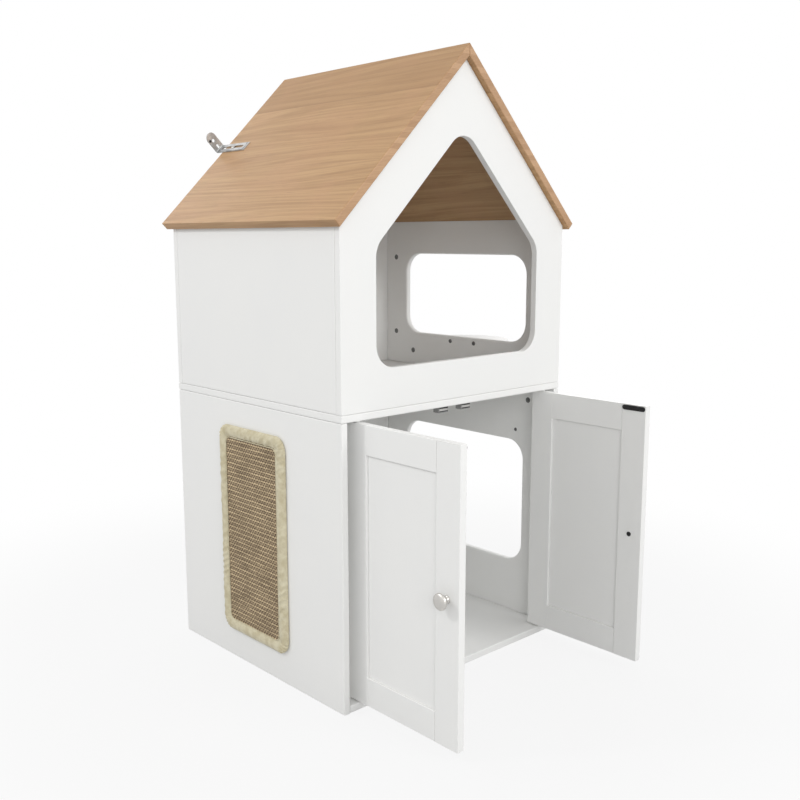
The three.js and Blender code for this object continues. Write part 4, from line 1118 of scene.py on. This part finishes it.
# %% Pleats and folds
PAD_CENTRE = middle("pad_binding")
PAD_HALF = Vector((0, 109.5 * MM, 215.5 * MM))
OUTER_RADIUS = 29 * MM
INNER_RADIUS = 13 * MM
BINDING_WIDTH = 24.5 * MM
CROWN_RISE = 2.4 * MM
PLEATS = 20  # waves to a full radian of a corner
PLEAT_DEPTH = 1.7 * MM
FOLD_LENGTH = 17 * MM
FOLD_DEPTH = 1.2 * MM
PUFF_DEPTH = 1.0 * MM


def sewn_shift(spot):
    """How much further the cloth stands out at a point, by its pleats, folds and stuffing."""
    across, up = spot.y - PAD_CENTRE.y, spot.z - PAD_CENTRE.z
    corner_y = max(abs(across) - (PAD_HALF.y - OUTER_RADIUS), 0)
    corner_z = max(abs(up) - (PAD_HALF.z - OUTER_RADIUS), 0)
    inset = OUTER_RADIUS - math.hypot(corner_y, corner_z)
    share = min(max(inset / BINDING_WIDTH, 0), 1)
    crown = math.sin(math.pi * share) ** 0.5
    in_corner = min(min(corner_y, corner_z) / OUTER_RADIUS * 5, 1)
    gathered = 1.0 if across * up > 0 else 0.45  # two corners were pulled tighter than the others
    angle = math.atan2(corner_z, corner_y)
    pleat = math.sin(angle * PLEATS + noise.noise(spot * 30) * 1.6) * in_corner * gathered * PLEAT_DEPTH
    slant = (up + across * 0.9 + noise.noise(spot * 12) * 0.03) / FOLD_LENGTH * 2 * math.pi
    patch = max(noise.noise(spot * 9 + Vector((4, 0, 0))) + 0.3, 0) * 1.5
    fold = max(math.sin(slant), -0.4) * (1 - in_corner) * patch * FOLD_DEPTH
    puff = noise.noise(spot * 28 + Vector((9, 2, 0))) * PUFF_DEPTH
    return (pleat + fold + puff) * crown + CROWN_RISE * math.sin(math.pi * share)


# %% Binding
BINDING_VOXEL = 2.0 * MM
BINDING_LIMIT = 1.8 * MM
BINDING_START = 7.0 * MM  # height of the ring before it is blown up
BINDING_SHRINK = 0.8 * MM


def rounded_block(name, half_y, half_z, near, far, radius):
    """A block on the wall round the pad's centre, between two distances from the wall."""
    block = add_block(
        name,
        (WALL_X - far, PAD_CENTRE.y - half_y, PAD_CENTRE.z - half_z),
        (WALL_X - near, PAD_CENTRE.y + half_y, PAD_CENTRE.z + half_z),
    )
    round_off(block, runs_along(0), radius)
    return block


def is_past(spot, inset):
    """Whether a point lies nearer to the pad's outline than an inset from it."""
    across, up = abs(spot.y - PAD_CENTRE.y), abs(spot.z - PAD_CENTRE.z)
    return across > PAD_HALF.y - inset or up > PAD_HALF.z - inset


def binding_ring():
    half_y, half_z = PAD_HALF.y - BINDING_SHRINK, PAD_HALF.z - BINDING_SHRINK
    ring = rounded_block("pad_binding_cloth", half_y, half_z, 0.5 * MM, BINDING_START, OUTER_RADIUS)
    half_y, half_z = PAD_HALF.y - BINDING_WIDTH, PAD_HALF.z - BINDING_WIDTH
    cut_away(ring, rounded_block("opening", half_y, half_z, -PAST, PAST, INNER_RADIUS))
    on_top = lambda edge: all(WALL_X - vert.co.x > BINDING_START - 1e-5 for vert in edge.verts)
    outside = lambda edge: any(is_past(vert.co, BINDING_WIDTH / 2) for vert in edge.verts)
    round_off(ring, lambda edge: on_top(edge) and outside(edge), 6 * MM, 5)
    round_off(ring, lambda edge: on_top(edge) and not outside(edge), 2.5 * MM, 4)
    return ring


def make_binding():
    binding = binding_ring()
    modify(binding, "REMESH", mode="VOXEL", voxel_size=BINDING_VOXEL)
    blow_up(binding, 4, BINDING_LIMIT)
    modify(binding, "SUBSURF", levels=1, render_levels=1)
    normals = [vertex.normal.copy() for vertex in binding.data.vertices]
    for vertex, way in zip(binding.data.vertices, normals):
        if WALL_X - vertex.co.x > HELD:
            vertex.co += way * sewn_shift(vertex.co)
        vertex.co.x = min(vertex.co.x, WALL_X - 0.3 * MM)
    smooth(binding, 180)
    return binding


binding = make_binding()
fit(binding, "suede", "cabinet", "pad_binding")

# %% [markdown]
# ## Scratching pad: the piping
#
# Where the binding meets the mat its edge is turned under, which shows as a thin pale cord all
# round. The outline of a thin block with rounded corners is kept as bare edges, turned into a
# curve, given thickness and turned back into a mesh, which is the quickest way to a tube that
# follows a rounded frame.

# %% Piping
PIPING_RADIUS = 0.9 * MM
PIPING_INSET = BINDING_WIDTH + 0.8 * MM
PIPING_REACH = 7.0 * MM  # out from the wall


def make_piping():
    piping = rounded_block(
        "pad_piping", PAD_HALF.y - PIPING_INSET, PAD_HALF.z - PIPING_INSET,
        PIPING_REACH - 1 * MM, PIPING_REACH, INNER_RADIUS)
    edit(piping)
    choose(piping, "faces", lambda face: face.normal.x > -0.9)
    bpy.ops.mesh.delete(type="FACE")
    bpy.ops.mesh.select_all(action="SELECT")
    bpy.ops.mesh.delete(type="ONLY_FACE")
    choose(piping, "edges", lambda edge: edge.calc_length() > 20 * MM)
    bpy.ops.mesh.subdivide(number_cuts=24)
    leave()
    select_only(piping)
    bpy.ops.object.convert(target="CURVE")
    piping = bpy.context.object
    piping.data.bevel_depth = PIPING_RADIUS
    piping.data.bevel_resolution = 3
    bpy.ops.object.convert(target="MESH")
    piping = bpy.context.object
    for vertex in piping.data.vertices:
        vertex.co.x += noise.noise(vertex.co * 40) * 0.5 * MM
    face_outwards(piping)
    smooth(piping, 60)
    return piping


fit(make_piping(), "suede", "cabinet")

# %% Backing
BACKING_INSET = 3.5 * MM  # the binding wraps its edge
backing_low, backing_high = WALL_X - high("scratch_pad_backing").x, WALL_X - low("scratch_pad_backing").x
backing = rounded_block(
    "pad_backing_board", PAD_HALF.y - BACKING_INSET, PAD_HALF.z - BACKING_INSET,
    backing_low, backing_high, OUTER_RADIUS - BACKING_INSET)
ease_edges(backing, 0.3 * MM, 2)
fit(backing, "backing", "cabinet", "scratch_pad_backing")

# %% [markdown]
# ## Anti-tip bracket
#
# A pressed steel strip is screwed to the rear of the left roof slope and bends up to the wall.
# Its section, with a low rib along each side, stays the same all the way, so it is modelled like
# a bent bar: the section is drawn once as a flat face, extruded along the roof, spun through the
# bend and extruded up. Then its ends are rounded and its holes cut. It is modelled flat, in its
# own frame with X up the slope, Y towards the wall and Z out of the roof, and laid on the roof
# at the end.

# %% Bracket's frame
BRACKET_HALF = 12 * MM
BRACKET_PLATE = 1.6 * MM
BRACKET_BEND = 4.1 * MM  # outside radius
ROOF_ARM = 102 * MM
WALL_ARM = 43 * MM
RIB = (7.8 * MM, 10.8 * MM, 0.9 * MM)  # from, to and height
BRACKET_LIFT = 0.3 * MM
HAIR = 0.02 * MM  # keeps a cut face off the face beside it
ADJUSTING_SLOT = (3.25 * MM, -90 * MM, -12 * MM)  # half width, and its ends along the roof arm
ROOF_SCREW_PLACE = 53 * MM
WALL_SCREW_PLACE = (-7 * MM, 28.2 * MM)

pitch = math.radians(45)
corner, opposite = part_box("anti_tip_bracket")
across = (BRACKET_HALF - BRACKET_LIFT) * math.cos(pitch)
bend = Matrix.Translation((opposite.x - across, opposite.y, corner.z + across))
ON_ROOF = bend @ Matrix.Rotation(-pitch, 4, "Y")
print("the bend lies at", tuple(round(c / MM, 1) for c in ON_ROOF.translation))

# %% Bracket
def bracket_section():
    """The strip's section as a flat face that looks towards the wall, at the start of the bend."""
    inner, outer, height = RIB
    bpy.ops.object.select_all(action="DESELECT")
    bpy.ops.mesh.primitive_plane_add(size=1, rotation=(math.pi / 2, 0, 0))
    section = bpy.context.object
    section.name = "anti_tip_bracket_pressed"
    section.scale = (2 * BRACKET_HALF, BRACKET_PLATE, 1)
    section.location = (0, -BRACKET_BEND, BRACKET_PLATE / 2)
    bpy.ops.object.transform_apply(location=True, rotation=True, scale=True)
    edit(section)
    for x in (-outer, -inner, inner, outer):
        bpy.ops.mesh.select_all(action="SELECT")
        bpy.ops.mesh.bisect(plane_co=(x, 0, 0), plane_no=(1, 0, 0))

    def on_rib(edge):
        ends = [vert.co for vert in edge.verts]
        return all(co.z > BRACKET_PLATE * 0.9 and inner - 1e-5 < abs(co.x) < outer + 1e-5 for co in ends)

    choose(section, "edges", on_rib)
    bpy.ops.mesh.extrude_region_move(TRANSFORM_OT_translate={"value": (0, 0, height)})
    leave()
    return section


def make_bracket():
    bracket = bracket_section()
    edit(bracket)
    bpy.ops.mesh.select_all(action="SELECT")
    bpy.ops.mesh.extrude_region_move(TRANSFORM_OT_translate={"value": (0, BRACKET_BEND - ROOF_ARM, 0)})
    choose(bracket, "faces", lambda face: all(abs(v.co.y + BRACKET_BEND) < 1e-6 for v in face.verts))
    bpy.ops.mesh.spin(
        steps=8, angle=-math.pi / 2, center=(0, -BRACKET_BEND, BRACKET_BEND), axis=(1, 0, 0))
    bpy.ops.mesh.extrude_region_move(TRANSFORM_OT_translate={"value": (0, 0, WALL_ARM - BRACKET_BEND)})
    leave()
    face_outwards(bracket)
    return bracket


def round_bar(name, radius, start, way, length):
    """A cutter for a round hole."""
    bpy.ops.object.select_all(action="DESELECT")
    bpy.ops.mesh.primitive_cylinder_add(vertices=40, radius=radius, depth=length)
    cutter = bpy.context.object
    cutter.name = name
    cutter.data.transform(pointing(way, start))
    return cutter


def cut_bracket(bracket):
    skim = BRACKET_PLATE + HAIR
    cut_away(bracket, add_block("rib_end", (-PAST, -PAST, 20 * MM), (PAST, -skim, WALL_ARM + PAST)))
    cut_away(bracket, add_block("rib_end", (-PAST, -ROOF_ARM - PAST, skim), (PAST, -ROOF_ARM + 7 * MM, PAST)))
    side = BRACKET_HALF + HAIR
    limit = add_block("limit", (-side, -ROOF_ARM - PAST, -PAST), (side, PAST, WALL_ARM))
    round_off(limit, lambda edge: runs_along(1)(edge) and edge.verts[0].co.z > 0, side * 0.98)
    cut_away(bracket, limit, "INTERSECT")
    for place, radius in (((0, 24.6 * MM), 3.5 * MM), (WALL_SCREW_PLACE, 2.1 * MM)):
        cut_away(bracket, round_bar("hole", radius, (place[0], 0, place[1]), (0, 1, 0), PAST))
    cut_away(bracket, add_block("slot", (-2.5 * MM, -PAST, 5 * MM), (2.5 * MM, PAST, 14 * MM)))
    half, start, end = ADJUSTING_SLOT
    adjusting = add_block("slot", (-half, start, -PAST), (half, end, PAST / 2))
    round_off(adjusting, runs_along(2), half * 0.98)
    cut_away(bracket, adjusting)


bracket = make_bracket()
cut_bracket(bracket)
ease_edges(bracket, 0.3 * MM, 2)
bracket.data.transform(ON_ROOF)
fit(bracket, "zinc", "cabinet", "anti_tip_bracket")

# %% Bracket's screws
roof_screw = make_screw("bracket_roof_screw_cross_head", 4.6 * MM, 2.2 * MM, 1.8 * MM, 14 * MM)
roof_seat = Vector((0, -ROOF_SCREW_PLACE, BRACKET_LIFT + BRACKET_PLATE + 0.2 * MM))
roof_screw.data.transform(ON_ROOF @ Matrix.Translation(roof_seat))
fit(roof_screw, "nickel", "cabinet", "bracket_roof_screw")

wall_screw = make_screw("bracket_wall_screw_cross_head", 2.8 * MM, 0.75 * MM, 1.8 * MM, 12 * MM)
wall_seat = (WALL_SCREW_PLACE[0], -BRACKET_PLATE - 0.2 * MM, WALL_SCREW_PLACE[1] + BRACKET_LIFT)
wall_screw.data.transform(ON_ROOF @ pointing((0, -1, 0), wall_seat))
fit(wall_screw, "black_steel", "cabinet", "bracket_wall_screw")

# %% [markdown]
# ## Doors
#
# Each door is a frame of two stiles and two rails round a thin panel, which lies loose in a
# groove, so that it can swell. A member starts as a block whose long edges get a small round. The
# rails' ends are cut down to tongues, and a groove is cut along each inner edge, as on a saw
# bench, with blocks that run past what they cut. The tongues fill the grooves of the stiles.

# %% Stiles and rails
DOOR_EASE = 1.2 * MM
GROOVE_HALF = 3.2 * MM
GROOVE_DEPTH = 8 * MM
TONGUE = 7 * MM  # how far a rail's ends reach into the stiles


def cut_groove(member, corner, opposite, inner_way):
    """Cuts a groove along the inner edge, past both ends."""
    axis = 2 if inner_way.z else 1
    middle_x = (corner.x + opposite.x) / 2
    past = Vector((0, PAST, PAST))
    start, end = corner - past, opposite + past
    start.x, end.x = middle_x - GROOVE_HALF, middle_x + GROOVE_HALF
    if inner_way[axis] > 0:
        start[axis] = opposite[axis] - GROOVE_DEPTH
    else:
        end[axis] = corner[axis] + GROOVE_DEPTH
    cut_away(member, add_block("groove", start, end))


def cut_cheeks(rail, corner, opposite):
    """Cuts a rail's ends down to the tongues that fill the stiles' grooves."""
    middle_x = (corner.x + opposite.x) / 2
    reach = GROOVE_HALF - HAIR
    for end in (corner.y, opposite.y):
        for start_x, end_x in ((corner.x - PAST, middle_x - reach), (middle_x + reach, opposite.x + PAST)):
            start = (start_x, end - TONGUE, corner.z - PAST)
            cut_away(rail, add_block("cheek", start, (end_x, end + TONGUE, opposite.z + PAST)))


def make_member(node, body, inner_way):
    """A stile or rail whose grooved edge looks along inner_way."""
    corner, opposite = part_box(node)
    inner_way = Vector(inner_way)
    member = add_block(node + "_board", corner, opposite)
    round_off(member, runs_along(1 if inner_way.z else 2), DOOR_EASE, 4)
    if inner_way.z:
        cut_cheeks(member, corner, opposite)
    cut_groove(member, corner, opposite, inner_way)
    face_outwards(member)
    keep_flats(member)
    fit(member, "lacquer", body, node)


for side in ("left", "right"):
    door = side + "_door"
    make_member(door + "_hinge_stile", door, (0, -1, 0))
    make_member(door + "_free_stile", door, (0, 1, 0))
    make_member(door + "_bottom_rail", door, (0, 0, 1))
    make_member(door + "_top_rail", door, (0, 0, -1))

# %% [markdown]
# ## Floor and light
#
# The picture is a cut-out on white. A plain floor takes a soft shadow, and what the camera sees
# of the floor and of the world is mostly plain white, whatever light falls there. Metal sees the
# same white. Two broad lamps light the front, a smaller one behind the left gives the knobs and
# the pad their shadows, and faint ones keep the other sides from going flat.

# %% Floor
bpy.ops.object.select_all(action="DESELECT")
bpy.ops.mesh.primitive_plane_add(size=60, location=(0, 0, -0.0005))
floor = bpy.context.object
floor.name = "floor"
NEAR_WHITE = 0.86  # share of plain white near the cabinet, where the shadow lies
WHITE_OUT = (0.6, 1.5)  # metres over which the floor runs out to white


def make_floor():
    paper = Finish("white floor", (0.5, 0.5, 0.5), 0.9)
    glow = paper.node("Emission", {}, Color=(1, 1, 1), Strength=1.0)
    rays = paper.node("LightPath", {}, out="Is Camera Ray") + paper.node("LightPath", {}, out="Is Glossy Ray")
    rays = rays + paper.node("LightPath", {}, out="Is Transmission Ray")
    spot = paper.node("TexCoord", {}, out="Object")
    away = paper.node("VectorMath", {"operation": "LENGTH"}, spot, out="Value")
    white = NEAR_WHITE + away.fade(*WHITE_OUT) * (1 - NEAR_WHITE)
    seen = paper.node("MixShader", {}, rays * white, Wire(paper, paper.shader.outputs[0]), glow)
    output = paper.tree.nodes["Material Output"]
    paper.tree.links.new(seen.socket, output.inputs["Surface"])
    return paper.material


floor.data.materials.append(make_floor())
print("floor ready")

# %% World and lamps
world = bpy.data.worlds.new("studio")
bpy.context.scene.world = world
world.use_nodes = True
sky = world.node_tree
background = sky.nodes["Background"]
background.inputs["Strength"].default_value = 0.7
white = sky.nodes.new("ShaderNodeBackground")
white.inputs["Strength"].default_value = 1.0
white.inputs["Color"].default_value = (1, 1, 1, 1)
background.inputs["Color"].default_value = (1, 1, 1, 1)
path = sky.nodes.new("ShaderNodeLightPath")
mixer = sky.nodes.new("ShaderNodeMixShader")
seen, glossy = (sky.nodes.new("ShaderNodeMath") for _ in range(2))
seen.operation = glossy.operation = "MAXIMUM"
sky.links.new(path.outputs["Is Glossy Ray"], glossy.inputs[0])
sky.links.new(path.outputs["Is Transmission Ray"], glossy.inputs[1])
sky.links.new(path.outputs["Is Camera Ray"], seen.inputs[0])
sky.links.new(glossy.outputs[0], seen.inputs[1])
sky.links.new(seen.outputs[0], mixer.inputs[0])
sky.links.new(background.outputs[0], mixer.inputs[1])
sky.links.new(white.outputs[0], mixer.inputs[2])
sky.links.new(mixer.outputs[0], sky.nodes["World Output"].inputs["Surface"])


def add_lamp(name, place, aim, size, power):
    data = bpy.data.lights.new(name, "AREA")
    data.shape = "DISK"
    data.size = size
    data.energy = power
    lamp = bpy.data.objects.new(name, data)
    bpy.context.scene.collection.objects.link(lamp)
    lamp.location = place
    lamp.rotation_euler = (Vector(aim) - Vector(place)).to_track_quat("-Z", "Y").to_euler()
    return lamp


add_lamp("front lamp", (0.9, -3.4, 2.4), (0, 0, 0.65), 1.8, 39)
add_lamp("front left lamp", (-1.9, -3.2, 1.6), (0, 0, 0.6), 2.0, 33)
add_lamp("left lamp", (-3.2, -1.0, 2.2), (0, 0, 0.6), 1.8, 3)
add_lamp("rear left lamp", (-2.6, 1.1, 2.7), (0, 0, 0.6), 0.6, 28)
add_lamp("back lamp", (0.4, 3.4, 1.8), (0, 0, 0.6), 1.8, 24)
add_lamp("rear right lamp", (3.2, 1.4, 1.6), (0, 0, 0.6), 1.8, 18)
print("lamps ready")

# %% Render settings and finish
bpy.context.scene.view_settings.view_transform = "Standard"
